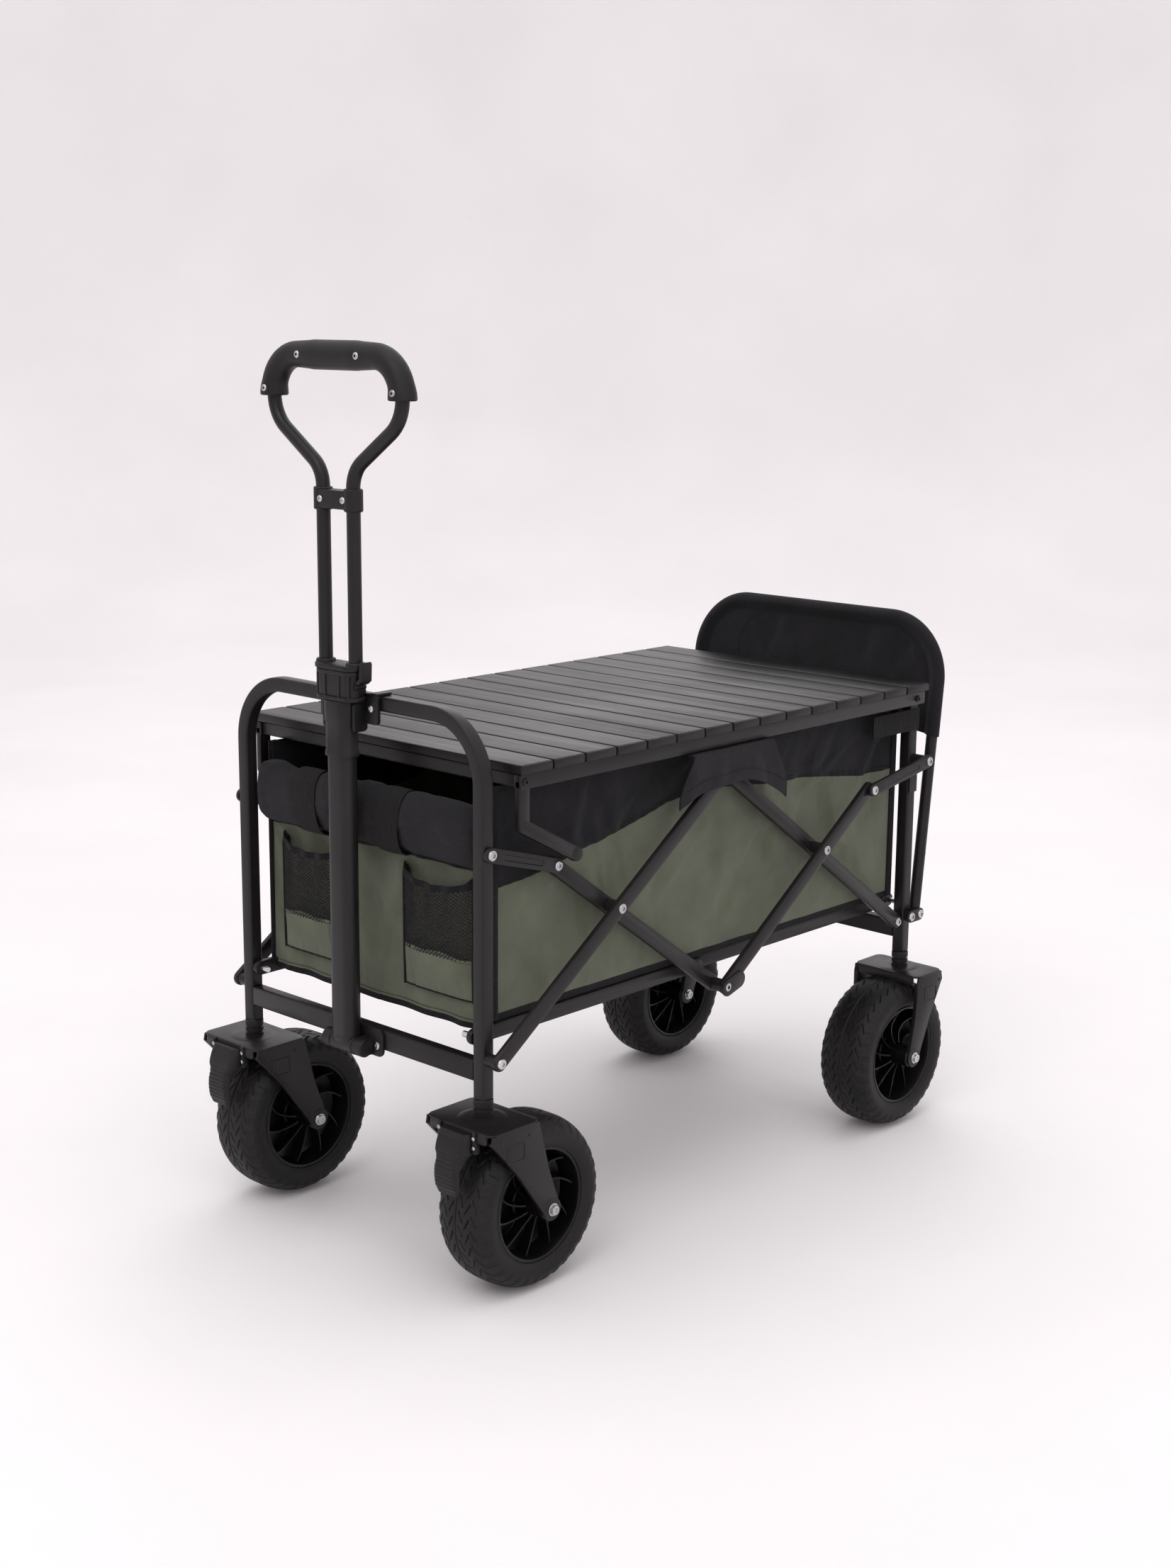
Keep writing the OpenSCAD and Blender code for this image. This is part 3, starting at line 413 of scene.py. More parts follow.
class Tree:
    """One material's nodes, with a short way to add and join them."""

    def __init__(self, name):
        self.material = bpy.data.materials.new(name)
        self.material.use_nodes = True
        self.nodes, self.links = self.material.node_tree.nodes, self.material.node_tree.links
        self.shader = self.nodes["Principled BSDF"]

    def put(self, socket, value):
        if isinstance(value, bpy.types.NodeSocket):
            self.links.new(value, socket)
        else:
            socket.default_value = value

    def add(self, kind, inputs=(), **settings):
        made = self.nodes.new(kind)
        for key, value in settings.items():
            setattr(made, key, value)
        for key, value in dict(inputs).items():
            self.put(made.inputs[key], value)
        return made

    def shade(self, **inputs):
        for key, value in inputs.items():
            self.put(self.shader.inputs[key.replace("_", " ")], value)

    def place(self, uv=False):
        return self.add("ShaderNodeTexCoord").outputs["UV" if uv else "Object"]

    def noise(self, where, scale, detail=3.0, rough=0.5):
        return self.add("ShaderNodeTexNoise", {"Vector": where, "Scale": scale, "Detail": detail,
                                               "Roughness": rough}).outputs["Fac"]

    def span(self, value, low, high, start=0.3, end=0.7):
        return self.add("ShaderNodeMapRange", {"Value": value, "From Min": start, "From Max": end,
                                               "To Min": low, "To Max": high}).outputs["Result"]

    def mixed(self, factor, first, second):
        made = self.add("ShaderNodeMix", data_type="RGBA")
        self.put(made.inputs[0], factor)
        self.put(made.inputs[6], first)
        self.put(made.inputs[7], second)
        return made.outputs[2]

    def math(self, kind, first, second=0.0):
        made = self.add("ShaderNodeMath", operation=kind)
        self.put(made.inputs[0], first)
        self.put(made.inputs[1], second)
        return made.outputs[0]

    def bump(self, height, depth, strength=1.0, normal=None):
        made = self.add("ShaderNodeBump", {"Height": height, "Distance": depth, "Strength": strength})
        if normal is not None:
            self.links.new(normal, made.inputs["Normal"])
        return made.outputs["Normal"]


def grained(name, dark, light, rough, grain, depth, metallic=0.0, cloud=9.0, coat=0.0, specular=0.26):
    """A coated or moulded surface: cloudy colour between two tones, uneven gloss, and a fine grain in relief.
    Edges that stand out are rubbed a little lighter."""
    tree = Tree(name)
    where = tree.place()
    clouds = tree.noise(where, cloud, 4.0)
    fine = tree.noise(where, grain, 2.0)
    worn = tree.span(tree.add("ShaderNodeNewGeometry").outputs["Pointiness"], 0.0, 0.35, 0.53, 0.6)
    tone = tree.mixed(tree.span(clouds, 0.0, 1.0), linear(dark), linear(light))
    tree.shade(Base_Color=tree.mixed(worn, tone, linear(light)),
               Roughness=tree.math("ADD", tree.span(clouds, rough - 0.05, rough + 0.05),
                                   tree.span(fine, -0.03, 0.03)),
               Metallic=metallic, Normal=tree.bump(fine, depth), Coat_Weight=coat, Coat_Roughness=0.3,
               Specular_IOR_Level=specular)
    return tree.material


def woven(name, dark, light, yarn=0.0011, depth=0.00018, rough=0.85, sheen=0.12, twill=True):
    """Canvas: two sets of yarns along the cloth's own UV directions, in metres, over cloudy dye and slubs. Where
    slubs are, the raised yarns are painted lighter than the hollows between them: a painted highlight on the yarn
    crests.
    """
    tree = Tree(name)
    flat = tree.place(uv=True)
    split = tree.add("ShaderNodeSeparateXYZ", {"Vector": flat})
    pitch = 2 * math.pi / yarn
    across, along = split.outputs["X"], split.outputs["Y"]
    lean = tree.math("ADD", across, tree.math("MULTIPLY", along, 1.0 if twill else 0.0))
    warp = tree.math("SINE", tree.math("MULTIPLY", lean, pitch))
    weft = tree.math("SINE", tree.math("MULTIPLY", along, pitch))
    yarns = tree.math("MULTIPLY", tree.math("ADD", warp, weft), 0.5)
    where = tree.place()
    dye = tree.noise(where, 14.0, 5.0, 0.6)
    slub = tree.noise(where, 420.0, 2.0)
    crease = tree.noise(where, 38.0, 4.0, 0.6)
    tone = tree.mixed(tree.span(dye, 0.0, 1.0), linear(dark), linear(light))
    # speck: real slubs, and a painted highlight, the light colour mixed in on the raised yarns by their height
    speck = tree.math("MULTIPLY", tree.span(yarns, 0.0, 0.25, -1.0, 1.0), tree.span(slub, 0.4, 1.0))
    relief = tree.bump(yarns, depth, normal=tree.bump(crease, 0.004, 0.35))
    tree.shade(Base_Color=tree.mixed(speck, tone, linear(light)), Normal=relief,
               Roughness=tree.span(slub, rough - 0.06, rough + 0.06),
               Sheen_Weight=sheen, Sheen_Roughness=0.5, Specular_IOR_Level=0.25)
    return tree.material


def ribbed(name, dark, light, rib=0.0022, depth=0.0004):
    """Webbing: ribs across the strap and a fine yarn along it, both in the strap's UV metres. The colour follows
    the relief: painted shade in the hollows between ribs and a painted highlight on their crests.
    """
    tree = Tree(name)
    split = tree.add("ShaderNodeSeparateXYZ", {"Vector": tree.place(uv=True)})
    ribs = tree.math("SINE", tree.math("MULTIPLY", split.outputs["X"], 2 * math.pi / rib))
    yarn = tree.math("SINE", tree.math("MULTIPLY", split.outputs["Y"], 2 * math.pi / (rib * 0.55)))
    relief = tree.math("ADD", tree.math("MULTIPLY", ribs, 0.7), tree.math("MULTIPLY", yarn, 0.3))
    slub = tree.noise(tree.place(), 300.0)
    # painted shade and highlight: the tone is darker in the rib hollows and lighter on the crests
    tone = tree.mixed(tree.span(relief, 0.0, 1.0, -1.0, 1.0), linear(dark), linear(light))
    tree.shade(Base_Color=tone, Roughness=tree.span(slub, 0.75, 0.9), Normal=tree.bump(relief, depth),
               Sheen_Weight=0.04, Specular_IOR_Level=0.15)
    return tree.material


def brushed(name, dark, light, rough, stretch, metallic, specular=0.5):
    """Drawn metal: a noise stretched along the cart's width gives the brushing, over a cloudy tone."""
    tree = Tree(name)
    where = tree.place()
    stretched = tree.add("ShaderNodeMapping", {"Vector": where, "Scale": stretch}).outputs["Vector"]
    lines = tree.noise(stretched, 60.0, 3.0)
    clouds = tree.noise(where, 7.0, 4.0)
    speck = tree.noise(where, 1600.0, 1.0)
    worn = tree.span(tree.add("ShaderNodeNewGeometry").outputs["Pointiness"], 0.0, 0.5, 0.52, 0.6)
    tone = tree.mixed(tree.span(clouds, 0.0, 1.0), linear(dark), linear(light))
    tree.shade(Base_Color=tree.mixed(worn, tone, linear(light)), Metallic=metallic,
               Roughness=tree.math("ADD", tree.span(lines, rough - 0.05, rough + 0.05),
                                   tree.span(clouds, -0.03, 0.04)),
               Normal=tree.bump(speck, 0.00004, 0.6), Specular_IOR_Level=specular)
    return tree.material


FINISH = {}


def make_finishes(look):
    """Every finish on the cart, kept by name."""
    FINISH["powder"] = grained("powder_coat", "#151314", "#201d1e", 0.36, 900.0, 0.00007)
    FINISH["strut"] = grained("strut_coat", "#171516", "#231f20", 0.34, 800.0, 0.00006)
    FINISH["slat"] = brushed("slat_anodised", "#0b0a0b", "#131112", 0.37, (1.0, 0.03, 1.0), 0.0, 0.2)
    FINISH["plastic"] = grained("moulded_plastic", "#121112", "#1c1a1b", 0.45, 1400.0, 0.00006)
    FINISH["grip"] = grained("grip_rubber", "#121111", "#1c1a1a", 0.48, 1100.0, 0.00008)
    FINISH["steel"] = brushed("bright_steel", "#9a9a9c", "#d6d6d8", 0.22, (1.0, 1.0, 1.0), 1.0)
    # both canvases carry a painted highlight on their raised yarns
    FINISH["olive"] = woven("olive_canvas", look.olive_dark, look.olive_light)
    FINISH["black"] = woven("black_canvas", "#0d0c0f", "#17151a", sheen=0.05)
    # binding and webbing carry painted shade in their rib hollows and a painted highlight on their crests
    FINISH["binding"] = ribbed("black_binding", "#0f0e10", "#1c1a1d", 0.0016, 0.0002)
    FINISH["webbing"] = ribbed("strap_webbing", "#0b0a0b", "#1a181a")
    FINISH["net"] = grained("pocket_net", "#100f10", "#1c1b1c", 0.75, 600.0, 0.00005)
    FINISH["tyre"] = grained("tyre_rubber", "#0f0e0e", "#191716", 0.52, 700.0, 0.00012, cloud=22.0)
    FINISH["rim"] = grained("rim_plastic", "#070607", "#0e0d0e", 0.32, 1200.0, 0.00004)
    FINISH["board"] = grained("floor_board", "#141314", "#211f20", 0.6, 400.0, 0.0001)


# ---------------------------------------------------------------- fasteners
def screw(shape, x, z, y, side=1, radius=HEAD_R, height=HEAD_H, paint=0):
    """A domed head with a six-sided socket, its back on the plane y: a turned profile whose socket rows
    follow a hexagon."""
    rows = np.array([(1, -0.3), (1, 0.35), (0.95, 0.62), (0.8, 0.86), (0.62, 0.98), (0.46, 1.0), (0.44, 0.99),
                     (0.4, 0.35), (0, 0.3)])
    count = 30
    angle = full_turn(count)
    factor = np.ones((len(rows), count))
    factor[6:8] = hexagon(angle)
    profile = rows * [radius, side * height]
    return turned(shape, profile, (x, y, z), "y", count, paint, factor)


def screw_x(shape, x, y, z, radius, height, paint=0):
    """The same head on a face that looks forward."""
    made = Shape()
    screw(made, 0, 0, 0, 1, radius, height)
    points = made.points[0][:, [1, 0, 2]] + np.array([x, y, z])
    return shape.add(points, made.quads[0], paint=paint)


def spacer(shape, x, z, low, high, radius, axis="y", paint=0):
    """A short round boss between two layers, with softened rims."""
    soft = min(0.6 * MM, abs(high - low) / 3)
    rows = [(radius - soft, low), (radius, low + soft), (radius, high - soft), (radius - soft, high)]
    return turned(shape, rows, (x, 0, z), axis, 28, paint)


# ---------------------------------------------------------------- frame
def hoop_path(half, foot, top, corner, x):
    """An upright hoop: up one post, round a corner, across and down the other post."""
    left = np.vstack([[half, foot], arc((half - corner, top - corner), corner, 0, 90, 18)])
    right = (left * [-1, 1])[::-1]
    flat = np.vstack([left, right])
    return np.column_stack([np.full(len(flat), x), flat])


def make_front_frame():
    """The hoop, a rounded square carried along its bent centre line, its bosses, and the lower cross bar."""
    shape = Shape()
    top = HOOP_HIGH[2] - TUBE / 2
    path = hoop_path(POST_Y, FOOT, top, HOOP_CORNER, FRONT_X)
    sweep(shape, path, box_profile(TUBE, TUBE, 3.2 * MM), (1, 0, 0))
    for side in SIDES:
        for (x, z), far, radius in ((P_FRONT, OUT_A, 8.5 * MM), (Q_FRONT, FLINK[0], 8 * MM)):
            spacer(shape, x, z, side * (POST_OUT - 1 * MM), side * (far - PLAY), radius)
    shape.build("front_hoop_tube", FINISH["powder"], "front_frame", "frame_paint", ["front_hoop"])
    low, high = extent("front_cross_bar")
    bar = block(Shape(), low, high, 3 * MM, 1 * MM, "y")
    bar.build("front_lower_bar", FINISH["powder"], "front_frame", "frame_paint", ["front_cross_bar"])


def make_rear_frame():
    """The rear posts with capped tops, lugs and bosses, their cross bar and the tailgate plates."""
    shape = Shape()
    top = extent("rear_posts")[1][2]
    for side in SIDES:
        y0, y1 = pair(side, POST_IN, POST_OUT)
        block(shape, (REAR_X - TUBE / 2, y0, FOOT), (REAR_X + TUBE / 2, y1, top - 2 * MM), 3.2 * MM, 1 * MM)
        block(shape, (REAR_X - TUBE / 2 - 0.5 * MM, y0 - 0.5 * MM, top - 7 * MM),
              (REAR_X + TUBE / 2 + 0.5 * MM, y1 + 0.5 * MM, top), 3.5 * MM, 1.5 * MM, paint=1)
        lug = bar_outline((REAR_X + 4 * MM, P_REAR[1]), P_REAR, 20 * MM)
        plate(shape, lug, "y", *pair(side, POST_IN + 1 * MM, IN_A - PLAY))
        spacer(shape, *Q_REAR, side * (POST_OUT - 1 * MM), side * (RLINK[0] - PLAY), 8 * MM)
    shape.build("rear_post_tubes", [FINISH["powder"], FINISH["plastic"]], "rear_frame", "frame_paint",
                ["rear_posts"])
    low, high = extent("rear_cross_bar")
    block(Shape(), low, high, 3 * MM, 1 * MM, "y").build(
        "rear_lower_bar", FINISH["powder"], "rear_frame", "frame_paint", ["rear_cross_bar"])
    low, high = extent("gate_plates")
    mid, y = (low[2] + high[2]) / 2, high[1] - HEAD_H
    gate, sheet = pivot("tailgate"), 3 * MM
    shape = Shape()
    for side in SIDES:
        plate(shape, bar_outline((gate[0], mid), (REAR_X, mid), 2 * LINK_HALF), "y", *pair(side, y - sheet, y),
              0.6 * MM)
        spacer(shape, REAR_X, mid, side * POST_OUT, side * (y - sheet), 8 * MM)
        for x in (gate[0], REAR_X):
            screw(shape, x, mid, side * y, side, paint=1)
    shape.build("gate_hinge_plates", [FINISH["strut"], FINISH["steel"]], "rear_frame", "strut_paint",
                ["gate_plates"])


def flat_bar(shape, p, q, near, far, side, width=21 * MM, soft=2.6 * MM, dent=None):
    """A scissor bar: a stadium outline with generously rounded edges. A dent is the share of the bar's length
    at which the pressed hollow in its outer face starts and ends."""
    outline = bar_outline(p, q, width)
    low, high = pair(side, near, far)
    pressed = None
    if dent is not None:
        start, end = dent
        run = np.asarray(q) - np.asarray(p)
        inner = bar_outline(p + run * start, p + run * end, width * 0.42)
        pressed = (inner, 1.2 * MM, 1.2 * MM)
    if side < 0 and pressed is not None:
        made = Shape()
        plate(made, outline, "y", near, far, soft, dent=pressed)
        shape.add(made.points[0] * [1, -1, 1], made.quads[0], caps=[cap for cap, _ in made.caps])
        return
    plate(shape, outline, "y", low, high, soft, dent=pressed)


def make_scissors():
    """The four pairs of scissor bars and the two pairs of links, each with its spacers and screws."""
    bars = {
        "front_long_scissors": ("front_long_struts", P_FRONT, TOP, OUT_A, OUT_B),
        "rear_long_scissors": ("rear_long_struts", P_REAR, TOP, IN_A, IN_B),
        "front_short_scissors": ("front_short_struts", LOW, R_FRONT, IN_A, IN_B),
        "rear_short_scissors": ("rear_short_struts", LOW, R_REAR, OUT_A, OUT_B),
    }
    pins = {"front_long_scissors": (C_FRONT, TOP), "rear_short_scissors": (C_REAR, LOW)}
    for body, (node, p, q, near, far) in bars.items():
        shape, heads = Shape(), Shape()
        for side in SIDES:
            flat_bar(shape, p, q, near, far, side)
            for place in pins.get(body, ()):
                spacer(shape, *place, side * (IN_B + PLAY), side * OUT_A, 9 * MM)
                spacer(shape, *place, side * (IN_A - 3.5 * MM), side * (IN_A - PLAY), 6.5 * MM)
                screw(heads, *place, side * OUT_B, side)
            if body == "rear_short_scissors":
                knuckle = bar_outline(LOW + [-24 * MM, 6 * MM], LOW + [0, -1 * MM], 24 * MM)
                plate(shape, knuckle, "y", *pair(side, OUT_B - 1 * MM, OUT_B + 2.4 * MM), 1 * MM)
        shape.build(node + "_bars", FINISH["strut"], body, "strut_paint", [node])
        if heads.count:
            heads.build(body + "_screws", FINISH["steel"], body, "steel", sharp=30)
    links = {
        "front_link_bars": ("front_links", Q_FRONT, R_FRONT, FLINK, IN_B),
        "rear_link_bars": ("rear_links", Q_REAR, R_REAR, RLINK, OUT_B),
    }
    dent = (0.2, 0.75)
    for body, (node, p, q, layer, inner) in links.items():
        shape, heads = Shape(), Shape()
        for side in SIDES:
            flat_bar(shape, p, q, *layer, side, 2 * LINK_HALF, 1.2 * MM, dent)
            spacer(shape, *q, side * (inner + PLAY), side * layer[0], 8 * MM)
            screw(heads, *q, side * layer[1], side)
        shape.build(node + "_bars", FINISH["strut"], body, "strut_paint", [node])
        heads.build(body + "_screws", FINISH["steel"], body, "steel", sharp=30)


def make_frame_screws():
    """Heads and pins that the front and rear frames carry."""
    shape = Shape()
    rail_z = pivot("front_floor_pivot")[1]
    clip_low = extent("hoop_clip")[0]
    bracket_low, bracket_high = extent("handle_bracket")
    hinge_z = bracket_high[2] - HINGE_DROP
    for side in SIDES:
        screw(shape, *P_FRONT, side * (OUT_B + PLAY), side)
        screw(shape, *Q_FRONT, side * (FLINK[1] + PLAY), side)
        spacer(shape, FRONT_X, rail_z, side * (POST_IN - 2 * MM), side * (POST_IN - 24 * MM), 4 * MM)
        spacer(shape, *P_FRONT, side * OUT_A, side * (OUT_B + 0.5 * MM), 4 * MM)
        screw_x(shape, clip_low[0] + 25 * MM, side * 42 * MM, HOOP_HIGH[2] - 16 * MM, 4.8 * MM, 2.4 * MM)
        screw_x(shape, bracket_low[0] + 4.4 * MM, side * 43.5 * MM, hinge_z + 2 * MM, 5.2 * MM, 2.6 * MM)
    shape.build("front_frame_screws", FINISH["steel"], "front_frame", "steel", ["front_pins"], 30)
    shape = Shape()
    for side in SIDES:
        screw(shape, *P_REAR, side * (IN_B + PLAY), side)
        spacer(shape, *P_REAR, side * (IN_A - 2 * MM), side * (IN_B + 0.5 * MM), 4 * MM)
        screw(shape, *Q_REAR, side * (RLINK[1] + PLAY), side)
        spacer(shape, REAR_X, rail_z, side * (POST_IN - 2 * MM), side * (POST_IN - 34 * MM), 4 * MM)
    shape.build("rear_frame_screws", FINISH["steel"], "rear_frame", "steel", ["rear_pins"], 30)


def make_floor():
    """Two halves of the floor: flat rails with round ends, the cross bar that joins them, and their board."""
    for body, node, edge in (("front_floor", "front_floor_rails", 1), ("rear_floor", "rear_floor_rails", -1)):
        low, high = extent(node)
        shape = Shape()
        mid = (low[2] + high[2]) / 2
        ends = (low[0] + 10 * MM, high[0] - 10 * MM)
        for side in SIDES:
            plate(shape, bar_outline((ends[0], mid), (ends[1], mid), 20 * MM), "y",
                  *pair(side, high[1], high[1] - 9 * MM), 2 * MM)
        near = TOP[0] + edge * 104 * MM
        x0, x1 = sorted((near, near + edge * 16 * MM))
        block(shape, (x0, -high[1] + 1 * MM, mid - 8 * MM), (x1, high[1] - 1 * MM, mid + 8 * MM),
              3 * MM, 1 * MM, "y")
        shape.build(node + "_tubes", FINISH["powder"], body, "frame_paint", [node])
        low, high = extent(node.replace("rails", "board"))
        block(Shape(), low, high, 12 * MM, 0.8 * MM).build(
            node.replace("rails", "panel"), FINISH["board"], body, "plastic", [node.replace("rails", "board")])


# ---------------------------------------------------------------- handle
HINGE_DROP = 17 * MM
ROD_HALF = 28 * MM
ROD_R = 8.8 * MM


def loop_path():
    """The rods' centre line in the handle's plane: straight up, flaring out, up again, and over the crown."""
    grip_high = extent("grip")[1]
    rod, half = ROD_HALF, grip_high[1] - 17 * MM
    crown = grip_high[2] - 18.2 * MM
    lean, r1, r2, r3 = math.radians(55), 40 * MM, 50 * MM, 48 * MM
    start = extent("rod_clip")[1][2] + 0.1 * MM
    rise = (half - rod - (r1 + r2) * (1 - math.cos(lean))) / math.tan(lean)
    end_z = start + r1 * math.sin(lean) + rise + r2 * math.sin(lean)
    first = arc((rod + r1, start), r1, 180, 125, 9)
    second = arc((half - r2, end_z), r2, -55, 0, 9)
    turn = arc((half - r3, crown - r3), r3, 0, 90, 12)
    side = np.vstack([[rod, extent("rod_cap")[1][2] - 3 * MM], first, second, turn])
    whole = np.vstack([side, (side * [-1, 1])[::-1]])
    return np.column_stack([np.full(len(whole), HANDLE_X), whole]), half, crown, r3


def make_handle():
    """Bracket, draw tube, sleeve, clip, collar, lever, cap, rods, rod clip and grip, from bottom to top. The
    tubes and mouldings are stadium outlines carried upwards, the bosses are turned, and the grip is a circle
    carried round the crown, thicker at its middle and at its two ends."""
    x = HANDLE_X
    low, high = extent("handle_bracket")
    hinge = high[2] - HINGE_DROP
    shape = Shape()
    block(shape, (low[0] + 0.2 * MM, -54 * MM, low[2]), (low[0] + 4.6 * MM, 54 * MM, high[2] + 6 * MM),
          9 * MM, 1.2 * MM, "x")
    block(shape, (low[0] - 12 * MM, -50 * MM, high[2] - 1.5 * MM),
          (low[0] + 4.4 * MM, 50 * MM, high[2] + 7.5 * MM), 2 * MM, 1.5 * MM, "y")
    for side in SIDES:
        cheek = np.vstack([arc((x, hinge), 12 * MM, -90, 90, 16), [[low[0] + 1 * MM, hinge + 13.5 * MM],
                                                                  [low[0] + 1 * MM, hinge - 12.5 * MM]]])
        plate(shape, cheek, "y", *pair(side, 21.5 * MM, 26.3 * MM), 0.8 * MM)
        barrel = np.array([(10.4, 21.4), (12.4, 22.4), (12.4, 36), (10.6, 38), (6, 38.4)]) * [1, side] * MM
        turned(shape, barrel, (x - 0.5 * MM, 0, hinge), "y", 32)
        near, far = pair(side, 21.5 * MM, 37 * MM)
        block(shape, (low[0] + 1 * MM, near, hinge - 11 * MM), (x, far, hinge + 11.5 * MM), 2 * MM, 1.2 * MM)
    shape.build("handle_bracket_moulding", FINISH["plastic"], "front_frame", "plastic", ["handle_bracket"])

    shape = Shape()
    tube_top = extent("draw_tube")[1][2]
    plate(shape, stadium(26 * MM, 42 * MM, (x, 0)), "z", hinge + 12 * MM, tube_top, 0.8 * MM)
    knuckle = [(11.5 * MM, -20.6 * MM), (12.5 * MM, -19.6 * MM), (12.5 * MM, 19.6 * MM), (11.5 * MM, 20.6 * MM)]
    turned(shape, knuckle, (x, 0, hinge), "y", 32)
    plate(shape, stadium(24.5 * MM, 38 * MM, (x, 0)), "z", hinge + 2 * MM, hinge + 16 * MM, 0.8 * MM)
    shape.build("draw_tube_profile", FINISH["powder"], "draw_bar", "frame_paint", ["draw_tube"])

    low, high = extent("snap_sleeve")
    shape = Shape()
    span = high[2] - low[2]
    rows = [(0, 0.985), (0.01, 1.0), (0.07, 1.0), (0.1, 0.93), (0.6, 0.93), (0.63, 1.0), (0.99, 1.0),
            (1.0, 0.985)]
    outline = stadium(high[0] - low[0], high[1] - low[1], (0, 0), 16)
    points = np.stack([np.column_stack([x + outline[:, 0] * k, outline[:, 1] * (1 - (1 - k) * 0.66),
                                        np.full(len(outline), low[2] + t * span)]) for t, k in rows])
    size = len(outline)
    shape.add(points, grid_quads(len(rows), size, wrap_cols=True),
              caps=(range(size), range((len(rows) - 1) * size, len(rows) * size)))
    shape.build("snap_sleeve_moulding", FINISH["plastic"], "draw_bar", "plastic", ["snap_sleeve"])

    low, high = extent("hoop_clip")
    wing_z = HOOP_HIGH[2]
    shape = Shape()
    for side in SIDES:
        y = pair(side, 24.6 * MM, 54 * MM)
        block(shape, (low[0] + 19.2 * MM, y[0], wing_z - 36 * MM), (low[0] + 25 * MM, y[1], wing_z + 3 * MM),
              5 * MM, 1.4 * MM, "x")
        jaw = pair(side, 25.4 * MM, 30 * MM)
        block(shape, (low[0] + 19.5 * MM, jaw[0], wing_z - 46 * MM), (high[0], jaw[1], wing_z - 8 * MM), 5 * MM,
              1.4 * MM, "y")
        top = pair(side, 41 * MM, 54 * MM)
        block(shape, (low[0], top[0], wing_z), (low[0] + 26 * MM, top[1], high[2]), 2 * MM, 1 * MM, "y")
    shape.build("hoop_clip_moulding", FINISH["plastic"], "front_frame", "plastic", ["hoop_clip"])

    low, high = extent("telescope_collar")
    shape = Shape()
    plate(shape, stadium(30 * MM, 72 * MM, (x, 0), 16), "z", low[2] + 3 * MM, high[2] - 0.5 * MM, 1 * MM)
    for z0, z1, wide, deep in ((low[2], low[2] + 5.5 * MM, 76, 34), (high[2] - 6 * MM, high[2], 76, 33)):
        plate(shape, stadium(deep * MM, wide * MM, (x, 0), 16), "z", z0, z1, 1.4 * MM)
    for y in (-29, -13, 13, 29):
        front = 16.4 * MM if abs(y) < 24 else 14.4 * MM
        for face in SIDES:
            ends = sorted((x + face * 9 * MM, x + face * front))
            block(shape, (ends[0], y * MM - 1.7 * MM, low[2] + 4 * MM),
                  (ends[1], y * MM + 1.7 * MM, high[2] - 4 * MM), 1 * MM, 0.7 * MM)
    shape.build("telescope_collar_moulding", FINISH["plastic"], "draw_bar", "plastic", ["telescope_collar"])

    low, high = extent("clamp_lever")
    _, py, pz = JOINTS["clamp_flip"]["pos_m"]
    shape = Shape()
    turned(shape, [(3.4 * MM, low[0]), (4 * MM, low[0] + 0.8 * MM), (4 * MM, high[0] - 0.8 * MM),
                   (3.4 * MM, high[0])], (0, py, pz), "x", 24)
    arm = np.array([(py, pz + 3.6 * MM), (py + 4 * MM, pz + 4.2 * MM), (high[1] - 7 * MM, pz + 3.5 * MM),
                    (high[1] - 1 * MM, pz + 8 * MM), (high[1], high[2] - 3 * MM), (high[1] - 1.6 * MM, high[2]),
                    (high[1] - 4.4 * MM, high[2] - 1 * MM), (high[1] - 5.6 * MM, pz + 12 * MM),
                    (high[1] - 8 * MM, pz + 8.6 * MM), (py + 3 * MM, pz + 9 * MM)])
    plate(shape, arm, "x", max(low[0], x - 10 * MM), min(high[0], x + 10 * MM), 1 * MM)
    shape.build("clamp_lever_paddle", FINISH["plastic"], "clamp_lever", "plastic", ["clamp_lever"])

    low, high = extent("rod_cap")
    shape = Shape()
    plate(shape, stadium(36 * MM, 80 * MM, (x, 0), 18), "z", high[2] - 7 * MM, high[2], 1.8 * MM)
    plate(shape, stadium(21 * MM, 37 * MM, (x, 0)), "z", low[2] + 1 * MM, high[2] - 3 * MM, 0.8 * MM, 1)
    for side in SIDES:
        turned(shape, [(12.5 * MM, 0), (12.5 * MM, 3 * MM), (11.4 * MM, 4.5 * MM), (8.9 * MM, 5 * MM)],
               (x, side * ROD_HALF, high[2] - 1 * MM), "z", 28)
    shape.build("rod_cap_moulding", [FINISH["plastic"], FINISH["powder"]], "pull_handle", "plastic",
                ["rod_cap"])

    path, half, crown, bend = loop_path()
    sweep(Shape(), path, circle(ROD_R, 24), (1, 0, 0)).build(
        "pull_loop_tube", FINISH["powder"], "pull_handle", "frame_paint", ["pull_loop"])

    low, high = extent("rod_clip")
    shape = Shape()
    plate(shape, stadium(22.4 * MM, 72 * MM, (x, 0), 16), "z", low[2] + 2.5 * MM, high[2] - 2.5 * MM, 1.6 * MM)
    for side in SIDES:
        turned(shape, [(10.6 * MM, low[2]), (12 * MM, low[2] + 1.4 * MM), (12 * MM, high[2] - 1.4 * MM),
                       (10.6 * MM, high[2])], (x, side * ROD_HALF, 0), "z", 30)
        screw_x(shape, x + 11 * MM, side * 21 * MM, (low[2] + high[2]) / 2, 4.4 * MM, 2.4 * MM, 1)
    shape.build("rod_clip_moulding", [FINISH["plastic"], FINISH["steel"]], "pull_handle", "plastic",
                ["rod_clip"])

